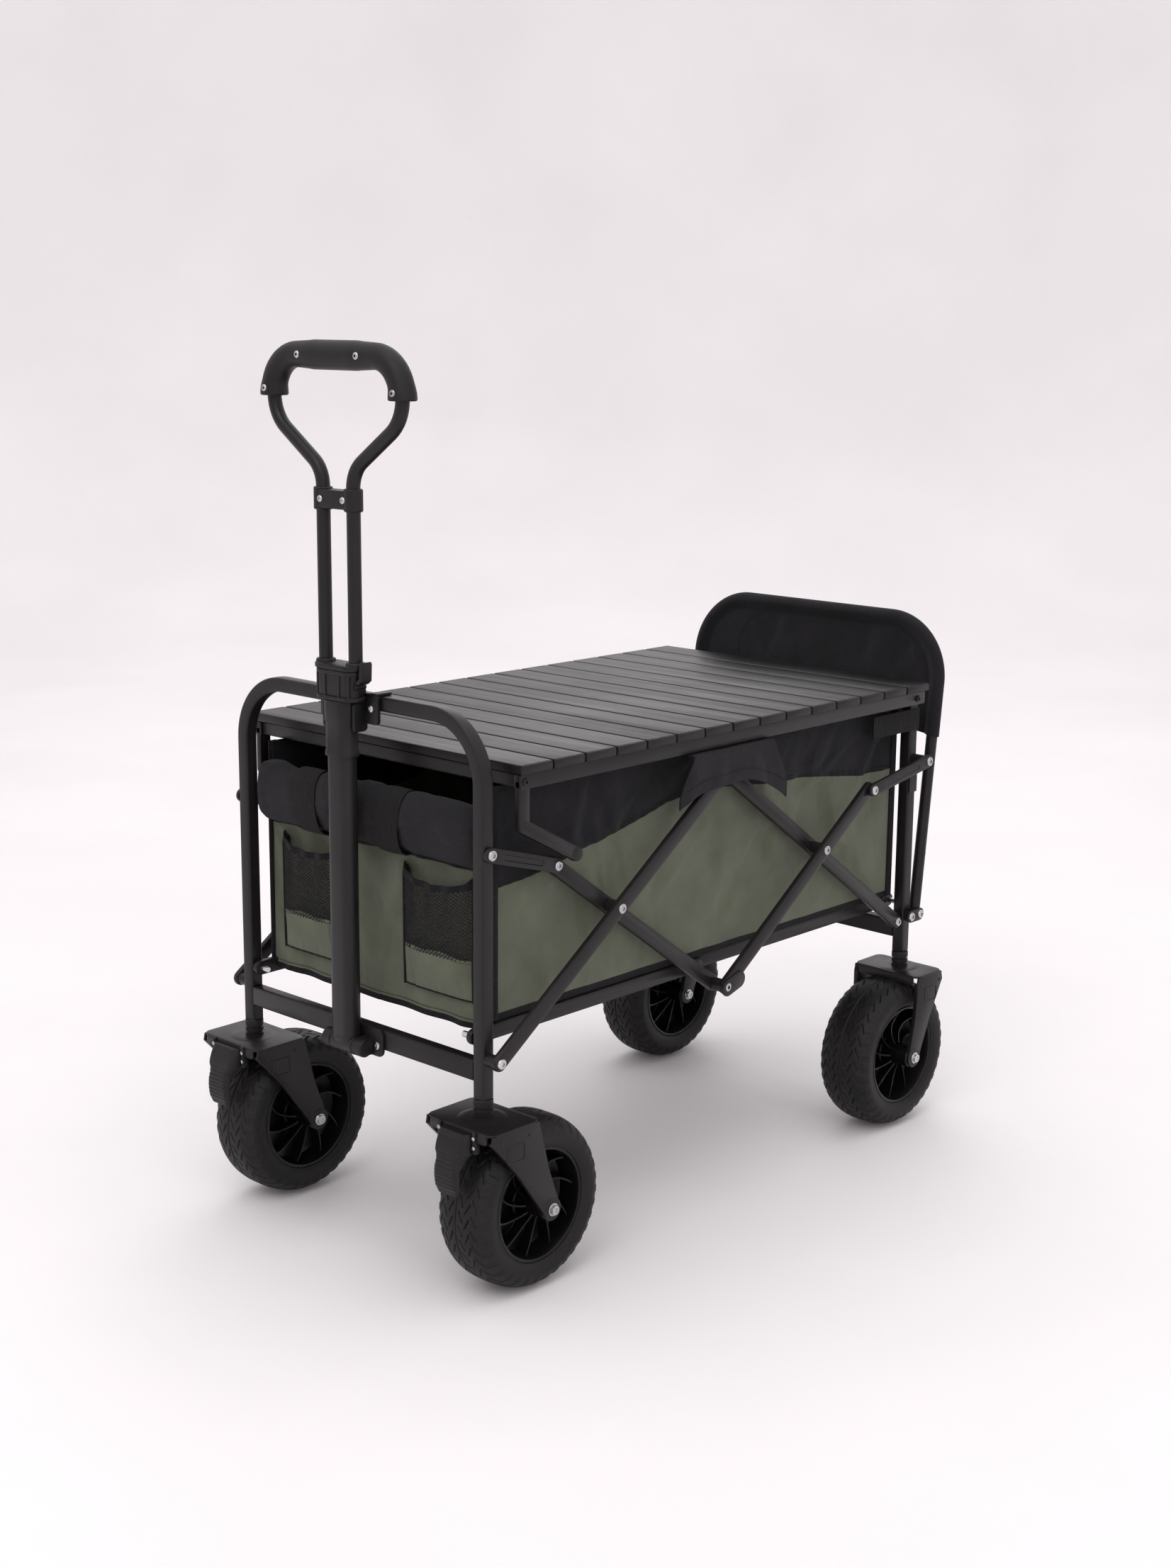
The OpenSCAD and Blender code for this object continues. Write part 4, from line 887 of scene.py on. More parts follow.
    low, high = extent("grip")
    turn = arc((half - bend, crown - bend), bend, 0, 90, 16)
    side = np.vstack([[[half, low[2]], [half, low[2] + 1.5 * MM]], turn, [[46 * MM, crown], [40 * MM, crown]]])
    middle = np.column_stack([np.linspace(34, -34, 9) * MM, np.full(9, crown)])
    whole = np.vstack([side, middle, (side * [-1, 1])[::-1]])
    line = np.column_stack([np.full(len(whole), x), whole])
    reach = lengths(whole)
    close = np.minimum(reach, reach[-1] - reach)
    radius = (16.2 + 1.5 * (1 - ease(close, 0.004, 0.02)) + 1.9 * ease(np.abs(-whole[:, 0]), 0.055, 0.04)
              * (whole[:, 1] > crown - 1 * MM)) * np.where(close < 1e-9, 0.93, 1.0)
    shape = Shape()
    sweep(shape, line, circle(1 * MM, 32), (1, 0, 0), radius)
    for place, z in ((54 * MM, crown), (half, low[2] + 9 * MM)):
        for edge in SIDES:
            screw_x(shape, x + 15.6 * MM, edge * place, z, 4.6 * MM, 2.4 * MM, 1)
    shape.build("grip_rubber_sleeve", [FINISH["grip"], FINISH["steel"]], "pull_handle", "grip_plastic",
                ["grip", "loop_screws"])


# ---------------------------------------------------------------- table
def make_table():
    """As many slats as the table's length holds, each a rounded rectangle carried across the cart, with end
    plugs and hinge webs between them, on side rails with cross members, and two cranked legs."""
    low, high = extent("table_slats")
    gap, slat = 2 * MM, 55.5 * MM
    count = int(round((high[0] - low[0] + gap) / (slat + gap)))
    wide = (high[0] - low[0] + gap) / count - gap
    shape = Shape()
    for i in range(count):
        x0 = low[0] + i * (wide + gap)
        outline = block_outline((x0, low[2]), (x0 + wide, high[2]), 2.6 * MM, 6)
        plate(shape, outline, "y", low[1] + 2 * MM, high[1] - 2 * MM, 0.3 * MM)
        for side in SIDES:
            plug = block_outline((x0 + 0.5 * MM, low[2] + 0.4 * MM), (x0 + wide - 0.5 * MM, high[2] - 0.5 * MM),
                                 2.8 * MM)
            plate(shape, plug, "y", *pair(side, high[1], high[1] - 3 * MM), 0.8 * MM, paint=1)
        for y in (-0.17, 0.0, 0.17):
            end = x0 + wide + gap + 0.6 * MM if i < count - 1 else x0 + wide - 0.1 * MM
            block(shape, (x0 + wide - 0.6 * MM, y - 12 * MM, low[2] + 3.5 * MM),
                  (end, y + 12 * MM, low[2] + 5.5 * MM), 0.3 * MM, 0.2 * MM, paint=1)
    shape.build("table_slat_set", [FINISH["slat"], FINISH["plastic"]], "table", "slat_aluminium",
                ["table_slats"])

    rail_low, rail_high = extent("table_rails")
    legs_low, legs_high = extent("table_legs")
    front = high[0] - 12 * MM
    shape = Shape()
    for side in SIDES:
        y = pair(side, high[1] - 16 * MM, high[1] - 4 * MM)
        block(shape, (rail_low[0], y[0], low[2] - 19 * MM), (rail_high[0], y[1], low[2]), 2.5 * MM, 1 * MM, "y")
        for x in (front - 97 * MM, rail_low[0] + 76 * MM):
            inner = pair(side, 187 * MM, 203 * MM)
            block(shape, (x - 14 * MM, inner[0], low[2] - 16 * MM), (x + 14 * MM, inner[1], low[2]),
                  3 * MM, 1 * MM, "y", paint=1)
    reach = high[1] - 10 * MM
    block(shape, (rail_high[0] - 21 * MM, -reach, low[2] - 18.5 * MM), (rail_high[0] - 3 * MM, reach, low[2]),
          2.5 * MM, 1 * MM, "y")
    block(shape, (rail_low[0] + 4 * MM, -reach, low[2] - 12.4 * MM), (rail_low[0] + 14 * MM, reach, low[2]),
          2 * MM, 1 * MM, "y")
    shape.build("table_rail_tubes", [FINISH["powder"], FINISH["plastic"]], "table", "frame_paint",
                ["table_rails"])

    shape, heads = Shape(), Shape()
    knee = np.array([legs_high[0] - 9 * MM, legs_low[2] + 59 * MM])
    foot = knee - [92.5 * MM, 49.8 * MM]
    rivet_low, rivet_high = extent("table_rivets")
    rivet_z = (rivet_low[2] + rivet_high[2]) / 2
    for side in SIDES:
        y = pair(side, legs_high[1] - 10 * MM, legs_high[1])
        plate(shape, bar_outline(foot, knee, 18 * MM), "y", *y, 2 * MM)
        plate(shape, bar_outline(knee, (knee[0], rivet_z), 18 * MM), "y",
              y[0] + 0.2 * MM, y[1] - 0.2 * MM, 2 * MM)
        tip = foot + (foot - knee) / np.linalg.norm(foot - knee) * 2 * MM
        plate(shape, bar_outline(tip, foot, 18.8 * MM), "y", y[0] - 0.5 * MM, y[1] + 0.5 * MM, 2 * MM, 1)
        for x in (knee[0] + 1 * MM, rail_low[0] + 18 * MM):
            screw(heads, x, rivet_z, side * (high[1] - 4 * MM), side, 5 * MM, 2.6 * MM)
    shape.build("table_leg_tubes", [FINISH["powder"], FINISH["plastic"]], "table", "frame_paint",
                ["table_legs"])
    heads.build("table_rivet_heads", FINISH["plastic"], "table", "plastic", ["table_rivets"], 30)


# ---------------------------------------------------------------- casters
BEAD_R = 76 * MM
FORK_CROWN = 238 * MM
FORK_HALF = 59 * MM
PRESSED = 3.2 * MM


def make_tyre(name, body):
    """A wide tyre: a section carried round the axle, its surface pressed in by the tread.

    Across the section, t runs from 0 at the middle to 1 at both shoulders. The tread is one ring round the
    middle and three rows of short slanting cuts a side: a cut is where the turn, moved on in step with the
    height in its row, is close to a whole number of pitches. The shoulder has its own row of raised blocks."""
    low, high = extent(name)
    centre, radius, half = (low + high) / 2, (high[0] - low[0]) / 2, (high[1] - low[1]) / 2
    around, pitches, lag = 576, 36, 2.1
    angle = full_turn(around)
    face = np.linspace(-1, 1, 73)
    brow = radius - 12.5 * MM
    crown = radius - 11 * MM * np.abs(face) ** 3.2
    tread = np.column_stack([crown, face * (half - 5 * MM)])
    wall_r = np.linspace(BEAD_R, brow, 11)
    lift = (wall_r - BEAD_R) / (brow - BEAD_R)
    wall_y = half - 7 * MM * (1 - lift) ** 2 - 4.2 * MM * lift ** 3
    bead_in = np.array([[BEAD_R - 1 * MM, half - 16 * MM], [BEAD_R - 1 * MM, half - 9 * MM]])
    wall = np.vstack([bead_in, np.column_stack([wall_r, wall_y])])
    profile = np.vstack([wall * [1, -1], tread, wall[::-1]])
    rows = len(profile)
    radii = np.repeat(profile[:, :1], around, 1)
    width = np.repeat(profile[:, 1:], around, 1)
    t = np.abs(face)[:, None]
    sign = np.sign(face)[:, None]
    phase = angle[None, :] * pitches
    turn = phase / (2 * np.pi)
    cut = ease(-t, -0.035, -0.012) * np.ones_like(turn)
    for middle, slant, shift in ((0.2, 0.4, 0.0), (0.45, -0.4, 0.45), (0.69, 0.4, 0.2)):
        near = (t - middle) / 0.095
        spot = turn + slant * near + shift + 0.5 * (sign > 0)
        off = np.abs(spot - np.round(spot))
        cut = np.maximum(cut, ease(-off, -0.11, -0.06) * ease(-np.abs(near), -1.0, -0.8))
    shoulder = ease(np.sin(phase + lag), -0.25, 0.25) * ease(t, 0.74, 0.86)
    depth = 2.2 * MM * cut * (1 - ease(t, 0.82, 0.98) * 0.6) + 1.3 * MM * shoulder
    at = slice(len(wall), len(wall) + len(face))
    radii[at] -= depth
    lugs = ease(np.sin(phase[0] + lag), -0.25, 0.25)
    for row, share in ((len(wall) - 1, 1.0), (len(wall) - 2, 0.8), (len(wall) - 3, 0.35)):
        for r in (row, rows - 1 - row):
            width[r] -= np.sign(profile[r, 1]) * 0.9 * MM * share * lugs
            radii[r] -= 0.5 * MM * share * lugs
    for row in (4, 5, rows - 5, rows - 6):
        width[row] += np.sign(profile[row, 1]) * 0.5 * MM
    points = np.stack([centre[0] + radii * np.cos(angle), centre[1] + width,
                       centre[2] + radii * np.sin(angle)], -1)
    uv = np.stack(np.broadcast_arrays(angle / (2 * np.pi), np.linspace(0, 1, rows)[:, None]), -1)
    shape = Shape().add(points, grid_quads(rows, around, True, True), uv)
    shape.build(name + "_rubber", FINISH["tyre"], body, "tyre", [name], 32)


def make_rim(name, body):
    """A deep moulded rim: barrel, lip, dished web and hub are one turned profile, the same on both sides. Each
    fin is a slim upright bar carried along a line whose angle grows with its distance from the hub."""
    low, high = extent(name)
    centre, hub = (low + high) / 2, (high[1] - low[1]) / 2
    outer, lip = 76.5 * MM, 37 * MM
    shape = Shape()
    section = np.array([(outer, -lip), (outer, lip), (73.5 * MM, lip + 1.4 * MM), (71 * MM, lip + 0.6 * MM),
                        (69.5 * MM, lip - 3 * MM), (67 * MM, 8 * MM), (60 * MM, 5 * MM), (24 * MM, 4 * MM),
                        (17 * MM, 9 * MM), (15 * MM, hub - 2 * MM), (13.5 * MM, hub), (5 * MM, hub)])
    profile = np.vstack([section[1:], (section[1:] * [1, -1])[::-1]])
    turned(shape, profile, centre, "y", 72, closed=True)
    fins, steps, root = 10, 9, 16 * MM
    along = np.linspace(0, 1, steps)
    tall = 22 * MM - 8 * MM * np.sin(np.pi * along)
    cross = np.array([(-1, -0.9), (1, -0.9), (1, 0.9), (-1, 0.9)])
    for side in SIDES:
        out = np.array([0.0, float(side), 0.0])
        for i in range(fins):
            turn = 2 * np.pi * i / fins + side * 0.55 * along ** 1.4
            reach = root + along * 54 * MM
            line = np.column_stack([centre[0] + reach * np.cos(turn), np.full(steps, centre[1] + side * 6 * MM),
                                    centre[2] + reach * np.sin(turn)])
            step = unit(np.gradient(line, axis=0))
            across = np.cross(np.broadcast_to(out, step.shape), step)
            points = line[:, None] + cross[None, :, :1] * tall[:, None, None] * out * 0.5 \
                + (cross[:, 1] * 1.2 * MM)[None, :, None] * across[:, None] + (tall[:, None, None] * 0.5) * out
            shape.add(points, grid_quads(steps, 4, wrap_cols=True),
                      caps=(range(4), range(4 * steps - 4, 4 * steps)))
        ring = [(23 * MM, 0), (25 * MM, 1), (25 * MM, 9), (23.4 * MM, 10), (21.6 * MM, 10), (20 * MM, 9),
                (20 * MM, 0)]
        profile = [(r, side * (4 * MM + h * MM)) for r, h in ring]
        turned(shape, profile, centre, "y", 48, closed=True)
    shape.build(name + "_moulding", FINISH["rim"], body, "rim_plastic", [name], 34)


def make_fork(where, side):
    """A pressed fork: folded crown plate, two legs with flanged edges and embossing, axle bolts, swivel collar,
    and at the front a housing for the brake pedal."""
    front, end = where == "front", END[side]
    axle = sum(extent(f"tyre_{where}_{end}")) / 2
    stem_x = FRONT_X if front else REAR_X
    y = JOINTS[f"swivel_{where}_{end}"]["pos_m"][1]
    crown, half = FORK_CROWN, FORK_HALF
    ahead = stem_x + (44 if front else 36) * MM
    behind = stem_x - (42 if front else 30) * MM
    shape = Shape()
    top = block_outline((behind, y - half), (ahead, y + half), 12 * MM, 7)
    plate(shape, top, "z", crown - 3.4 * MM, crown, 1.3 * MM)
    dome = [(32 * MM, crown - 0.6 * MM), (30 * MM, crown + 0.5 * MM), (22 * MM, crown + 1.3 * MM),
            (12 * MM, crown + 1.6 * MM)]
    turned(shape, dome, (stem_x + 2 * MM, y, 0), "z", 40)
    block(shape, (ahead - PRESSED, y - half + 9 * MM, crown - 15 * MM),
          (ahead, y + half - 9 * MM, crown - 1 * MM), 5 * MM, 0.9 * MM, "x")
    block(shape, (behind, y - half + 9 * MM, crown - 9 * MM),
          (behind + 3 * MM, y + half - 9 * MM, crown - 1 * MM), 4 * MM, 0.9 * MM, "x")
    bolts = Shape()
    for edge in SIDES:
        foot = arc((axle[0], axle[2]), 14 * MM, 178, 345, 14)
        brow, nape = np.array((ahead - 1 * MM, crown - 12 * MM)), np.array((behind, crown - 14 * MM))
        waist = brow + (foot[-1] - brow) * 0.42 - [5 * MM, 0]
        small = nape + (foot[0] - nape) * 0.5 + [3 * MM, 0]
        right = np.array([waist, (waist + brow) / 2 - [1 * MM, 0], brow, (ahead - 3 * MM, crown - 2 * MM)])
        left = np.array([(behind + 3 * MM, crown - 2 * MM), nape, small])
        leg = np.vstack([foot, right, left])
        face = np.sort([y + edge * half, y + edge * (half - PRESSED)])
        plate(shape, leg, "y", face[0], face[1], 0.7 * MM)
        flange = shrink(leg, 0.6 * MM)[len(foot) - 2:len(foot) + 3]
        rear = shrink(leg, 0.6 * MM)[[len(foot) + 5, len(foot) + 6, 0, 1]]
        for line in (flange, rear):
            path = np.column_stack([line[:, 0], np.full(len(line), y + edge * (half - 3.4 * MM)), line[:, 1]])
            steps = np.linspace(0, 1, 16)
            spread = lengths(path)
            spread /= spread[-1]
            path = np.column_stack([np.interp(steps, spread, path[:, k]) for k in range(3)])
            sweep(shape, path, box_profile(7 * MM, 2 * MM, 0.9 * MM, 3), (0, 1, 0))
        out = y + edge * half
        mid = stem_x + (2 if front else 1) * MM
        bead = block_outline((mid - 15 * MM, crown - 43 * MM), (mid + 15 * MM, crown - 21 * MM), 3 * MM, 4)
        path = np.column_stack([bead[:, 0], np.full(len(bead), out), bead[:, 1]])
        sweep(shape, path, circle(0.8 * MM, 6), (0, 1, 0), closed=True)
        for dx in (-24 * MM, 24 * MM):
            turned(shape, [(2.6 * MM, 0), (2.2 * MM, edge * 0.8 * MM), (1.2 * MM, edge * 1.2 * MM)],
                   (mid + dx, out - edge * 0.3 * MM, crown - 15 * MM), "y", 16)
        turned(shape, [(15 * MM, 0), (14 * MM, edge * 1.0 * MM), (11 * MM, edge * 1.2 * MM)],
               (axle[0], out - edge * 0.2 * MM, axle[2]), "y", 36)
        head = [(8.5 * MM, 0), (8.5 * MM, edge * 1.6 * MM), (8 * MM, edge * 2.2 * MM),
                (5.8 * MM, edge * 2.3 * MM)]
        turned(bolts, head, (axle[0], out + edge * 0.3 * MM, axle[2]), "y", 32)
        nut = np.array([(6.4, 2), (6.4, 5.2), (6.0, 5.8), (3.4, 5.9), (3.2, 5.2), (0, 5.0)]) * [MM, edge * MM]
        factor = np.ones((len(nut), 36))
        factor[:2] = hexagon(full_turn(36))
        turned(bolts, nut, (axle[0], out, axle[2]), "y", 36, factor=factor)
    axle_line = [(5 * MM, -half + 1 * MM), (5 * MM, half - 1 * MM)]
    turned(bolts, axle_line, (axle[0], y, axle[2]), "y", 20)
    collar = [(12.2, 0), (12.4, 1), (12.4, 3.4), (10.8, 4.2), (10.8, 6.2), (12.4, 7), (12.4, 11), (10.8, 11.8),
              (10.8, 13.8), (12.4, 14.6), (12.4, 22.2), (11.4, 23.4), (5, 23.6)]
    turned(shape, [(r * MM, crown + h * MM) for r, h in collar], (stem_x, y, 0), "z", 40, paint=1)
    if front:
        for edge in SIDES:
            a, b = sorted((y + edge * 27.2 * MM, y + edge * 33 * MM))
            block(shape, (ahead - 6 * MM, a, crown - 30 * MM), (ahead + 3.5 * MM, b, crown - 0.5 * MM), 3 * MM,
                  1.2 * MM, "y", paint=1)
            for drop in (9 * MM, 21 * MM):
                screw_x(bolts, ahead + 3.2 * MM, y + edge * 30.2 * MM, crown - drop, 2.6 * MM, 1.4 * MM)
    body = f"caster_{where}_{end}"
    shape.build(f"fork_{where}_{end}_pressing", [FINISH["powder"], FINISH["plastic"]], body, "frame_paint",
                [f"fork_{where}_{end}"])
    bolts.build(f"fork_{where}_{end}_bolts", FINISH["steel"], body, "steel", sharp=30)


def make_pedal(side):
    """A foot brake, as rows from top to bottom and columns across. The upper pedal swells out like a quarter
    of a sine and the lower tongue like a half. The tongue is narrower, and its ribs are a sine cut to steps."""
    end = END[side]
    rows, cols, split = 60, 25, 0.38
    low, high = extent(f"brake_pedal_{end}")
    y = JOINTS[f"brake_{end}"]["pos_m"][1]
    px, pz = pivot(f"brake_{end}")
    shape = Shape()
    t = np.linspace(0, 1, rows)
    z = high[2] - t * (high[2] - low[2])
    out = px + 9 * MM + (high[0] - px - 9 * MM) * np.where(t < split, np.sin(np.pi / 2 * t / split) * 0.75,
                                                         0.75 + 0.25 * np.sin(np.pi * (t - split) / 0.62))
    ribs = ease(np.sin((t - 0.42) * 2 * np.pi * 8 / 0.51), -0.2, 0.3)
    ribs = np.where((t > 0.42) & (t < 0.93), 0.9 * MM * ribs, 0)
    back = px + 1 * MM + (out - px - 9 * MM) * ease(t, 0.3, 0.6) + 2 * MM * ease(t, 0.3, 0.6)
    back = np.minimum(back, out - 4 * MM)
    wide = np.where(t < split, 26.3, 20.8) * MM
    wide = wide - 5.5 * MM * ease(t, 0.9, 1.0) ** 2 - 1.2 * MM * (1 - ease(t, 0.0, 0.05))
    wide = np.interp(t, t, np.convolve(np.pad(wide, 3, mode="edge"), np.ones(7) / 7, mode="valid"))
    u = np.linspace(-1, 1, cols)
    round_off = 1 - np.abs(u) ** 10 * 0.75
    mid = ease(-np.abs(u), -0.86, -0.8)
    face_x = back[:, None] + (out - back)[:, None] * round_off + ribs[:, None] * mid
    panel = np.where((t[:, None] > 0.08) & (t[:, None] < 0.34) & (np.abs(u)[None, :] < 0.72), -0.8 * MM, 0.0)
    across, up = y + wide[:, None] * u, np.repeat(z[:, None], cols, 1)
    face = np.stack([face_x + panel, across, up], -1)
    rear = np.stack([np.repeat(back[:, None], cols, 1), across, up], -1)
    quads = grid_quads(rows, cols)
    shape.add(np.stack([face, rear]), np.vstack([quads, quads[:, ::-1] + rows * cols, rim_quads(rows, cols)]))
    spacer(shape, px, pz, y - 26.4 * MM, y + 26.4 * MM, 5 * MM)
    shape.build(f"brake_{end}_moulding", FINISH["plastic"], f"brake_{end}", "plastic",
                [f"brake_pedal_{end}"], 40)


# ---------------------------------------------------------------- fabric
SEAM = 545 * MM
HEM_ROWS, OLIVE_ROWS, BLACK_ROWS, RIM_ROWS = 4, 40, 26, 3
SEAM_ROW = HEM_ROWS + OLIVE_ROWS - 1
ROLL_STRAPS = (-100 * MM, 58 * MM)
CLOTH_ANCHOR = extent("front_panel")[1][0] - 2 * MM
TAIL_LEAN = math.radians(6)
STRAP_WIDE, STRAP_MID, CLIP_MID = 33 * MM, 622.5 * MM, 527.5 * MM


def wall_finishes():
    """A wall's finishes, in the order of the numbers that banded gives, and 3 for the thread."""
    return [FINISH[name] for name in ("olive", "black", "binding", "net")]


def seam_height(x):
    """Height of the seam between black and olive along a side wall: drawn up at the middle joint, with smooth
    falls towards the front and the rear, and a slow wave."""
    peak, front_fall, rear_fall, wave = 34 * MM, 58 * MM, 30 * MM, 2.5 * MM
    fall = front_fall * ease(x, TOP[0] + 0.02, TOP[0] + 0.39) + rear_fall * ease(-x, 0.02 - TOP[0], 0.4 - TOP[0])
    return SEAM + peak - fall + wave * np.sin(x * 23.0 + 0.8)


def banded(low, high, seam, below, above, hem=8 * MM):
    """Heights of the rows of a wall with a black hem, an olive part and a black part, each row following its
    own border, and each row's paint: 0 olive, 1 black, 2 binding."""
    seam = np.atleast_1d(seam)[None, :]
    lower = low + hem * np.linspace(0, 1, HEM_ROWS)[:, None] * np.ones_like(seam)
    t = np.linspace(0, 1, below + 1)[1:, None]
    middle = (low + hem) + (seam - low - hem) * t
    t = np.linspace(0, 1, above + 1)[1:, None]
    upper = seam + (high - hem - seam) * t
    rim = high - hem + hem * np.linspace(0, 1, RIM_ROWS)[1:, None] * np.ones_like(seam)
    rows = np.vstack([lower, middle, upper, rim])
    paint = np.repeat([2, 0, 1, 2], [HEM_ROWS - 1, below, above, RIM_ROWS - 1])
    return rows, paint


def stitches(shape, points, pitch=4.2 * MM, radius=0.45 * MM, lift=(0, 0, 0), paint=0):
    """A row of short thread stitches along a line: little five-sided rods that taper at both ends."""
    points = np.asarray(points, float) + np.asarray(lift)
    run = lengths(points)
    count = int(run[-1] / pitch)
    middles = (np.arange(count) + 0.5) * pitch
    at = middles[:, None] + np.array([-0.34, -0.26, 0.26, 0.34]) * pitch
    line = np.stack([np.interp(at, run, points[:, k]) for k in range(3)], -1)
    way = unit(line[:, -1] - line[:, 0])
    helper = np.where(np.abs(way[:, 2:3]) > 0.8, [[1.0, 0, 0]], [[0, 0, 1.0]])
    first = unit(np.cross(way, helper))
    second = np.cross(way, first)
    angle = full_turn(5)
    ring = first[:, None] * np.cos(angle)[None, :, None] + second[:, None] * np.sin(angle)[None, :, None]
    size = np.array([0.35, 1.0, 1.0, 0.35]) * radius
    grid = line[:, :, None] + ring[:, None] * size[None, :, None, None]
    one = grid_quads(4, 5, wrap_cols=True)
    quads = (one[None] + (np.arange(count) * 20)[:, None, None]).reshape(-1, 4)
    caps = [range(k * 20 + start, k * 20 + start + 5) for start in (0, 15) for k in range(count)]
    return shape.add(grid, quads, paint=paint, caps=caps)


def squarish(angle):
    """A cosine whose size is raised to a power below one, which makes a circle into a slightly boxy oval."""
    return np.sign(np.cos(angle)) * np.abs(np.cos(angle)) ** 0.85


def make_front_fabric(look):
    """The olive front wall with its hem, the padded black roll above it under two webbing straps, and piping.

    The wall is a plane moved by ripples, folds from its top corners, creases, and a sag that is a half sine
    over its height. The roll is an oval carried across the cart, drawn in under each strap by a flat-topped
    bell, rounded at its ends, with ripples and creases. A strap follows the same oval, a little larger."""
    low, high = extent("front_panel")
    roll_low, roll_high = extent("front_roll")
    half = SKIN - 4.5 * MM
    cols, raised = 181, high[2] + 4 * MM
    y = np.linspace(-half, half, cols)
    rows, paint = banded(low[2], raised, np.full(cols, high[2] - 6 * MM), 70, 4)
    soft = look.wrinkle * (ripple(y[None, :] * 1.8, rows * 0.5, 11, 8, 14, 70)
                           + 0.8 * fold_fan(y[None, :], rows, (-half, high[2]), 9, 0.09, 0.4)
                           + 0.8 * fold_fan(y[None, :], rows, (half, high[2]), 9, 0.09, 1.7))
    sag = 3 * MM * np.sin(np.pi * (rows - low[2]) / (high[2] - low[2])) * (1 - (y[None, :] / half) ** 4)
    soft = soft + 2.4 * MM * creases(y[None, :], rows, (-half, low[2]), (half, high[2]), 12, 22, 1.0) \
        * ease(half - np.abs(y), 0, 0.02)[None, :]
    x = high[0] - 0.5 * MM + soft * 1.2 - sag * 0.6
    x = np.clip(x, low[0] - 8 * MM, high[0] + 6 * MM)
    x = x - np.where(paint_rows(paint, 2)[:, None], 0, 0.6 * MM)
    grid = np.stack([x, np.broadcast_to(y, rows.shape), rows], -1)
    shape = slab(Shape(), grid[:, ::-1], 2.4 * MM, paint[:, None], 2)
    stitches(shape, grid[HEM_ROWS], lift=(0.9 * MM, 0, 1.2 * MM), paint=3)
    for side in SIDES:
        post = np.column_stack([np.full(40, high[0] + 1.5 * MM), np.full(40, side * (half + 1.5 * MM)),
                                np.linspace(low[2], high[2], 40)])
        sweep(shape, post, circle(3.2 * MM, 10), (0, 1, 0), paint=2)
    wall = shape.build("front_wall", wall_finishes(), "front_frame", "fabric_olive", ["front_panel"], 50)

    centre = (roll_low + roll_high) / 2
    deep, tall = (roll_high[0] - roll_low[0]) / 2, (roll_high[2] - roll_low[2]) / 2
    reach = POST_IN - 0.8 * MM
    cols, around = 221, 88
    along = reach * np.sin(np.linspace(-np.pi / 2, np.pi / 2, cols))
    phi = full_turn(around)
    a, f = along[:, None], phi[None, :]
    pinch = sum(np.exp(-(((a - c) / (0.62 * look.strap)) ** 4)) for c in ROLL_STRAPS)
    end = 1 - 0.45 * np.abs(a / reach) ** 14
    swell = 1 - 0.1 * pinch + 0.035 * ripple(a * 2.4, f * 0.018, 23, 8, 20, 90) \
        + 0.03 * np.sin(7 * f + 30 * a) * np.exp(-((np.abs(a) - reach) / 0.05) ** 2) \
        + 0.06 * creases(a, 0.04 * np.sin(f) + 0 * a, (-reach, -0.04), (reach, 0.04), 24, 34, 0.1)
    lap = 0.05 * ease(np.cos(f - 0.35), 0.86, 0.9)
    shut = np.sqrt(1 - np.abs(a / reach) ** 40)
    rx = deep * (swell + lap) * end * shut
    rz = tall * (swell * 0.985) * (0.82 + 0.18 * end) * shut
    points = np.stack([centre[0] + rx * squarish(f), np.broadcast_to(a, (cols, around)),
                       centre[2] + rz * np.sin(f)], -1)
    uv = np.stack(np.broadcast_arrays(a, f * 0.03), -1)
    roll = Shape().add(points, grid_quads(cols, around, wrap_cols=True), uv).build(
        "front_roll_padded", FINISH["black"], "front_frame", "fabric_black", ["front_roll"], 60)

    shape = Shape()
    turn = np.radians(np.linspace(-104, 104, 60))
    for number, middle in enumerate(ROLL_STRAPS):
        across = np.linspace(-0.5, 0.5, 13) * look.strap
        bulge = 1.06 + 0.04 * np.cos(turn)[:, None] - 0.03 * (2 * across[None, :] / look.strap) ** 2 \
            + 0.012 * ripple(turn[:, None] * 0.04, across[None, :] * 3, 31 + number, 5, 40, 120)
        x = centre[0] + (deep * bulge + 1.2 * MM) * squarish(turn)[:, None]
        z = centre[2] + (tall * (bulge * 0.5 + 0.5) + 0.8 * MM) * np.sin(turn)[:, None] + 0 * across[None, :]
        lean = 3 * MM * np.sin(turn)[:, None] * (1 if number else -1)
        grid = np.stack([x, middle + across[None, :] + lean, z], -1)
        slab(shape, grid[:, ::-1], 1.5 * MM)
    straps = shape.build("front_roll_straps", FINISH["webbing"], "front_frame", "webbing", sharp=50)


def paint_rows(paint, wanted):
    """Which rows of points touch a band of that paint."""
    touch = np.zeros(len(paint) + 1, bool)
    touch[:-1] |= paint == wanted
    touch[1:] |= paint == wanted
    return touch


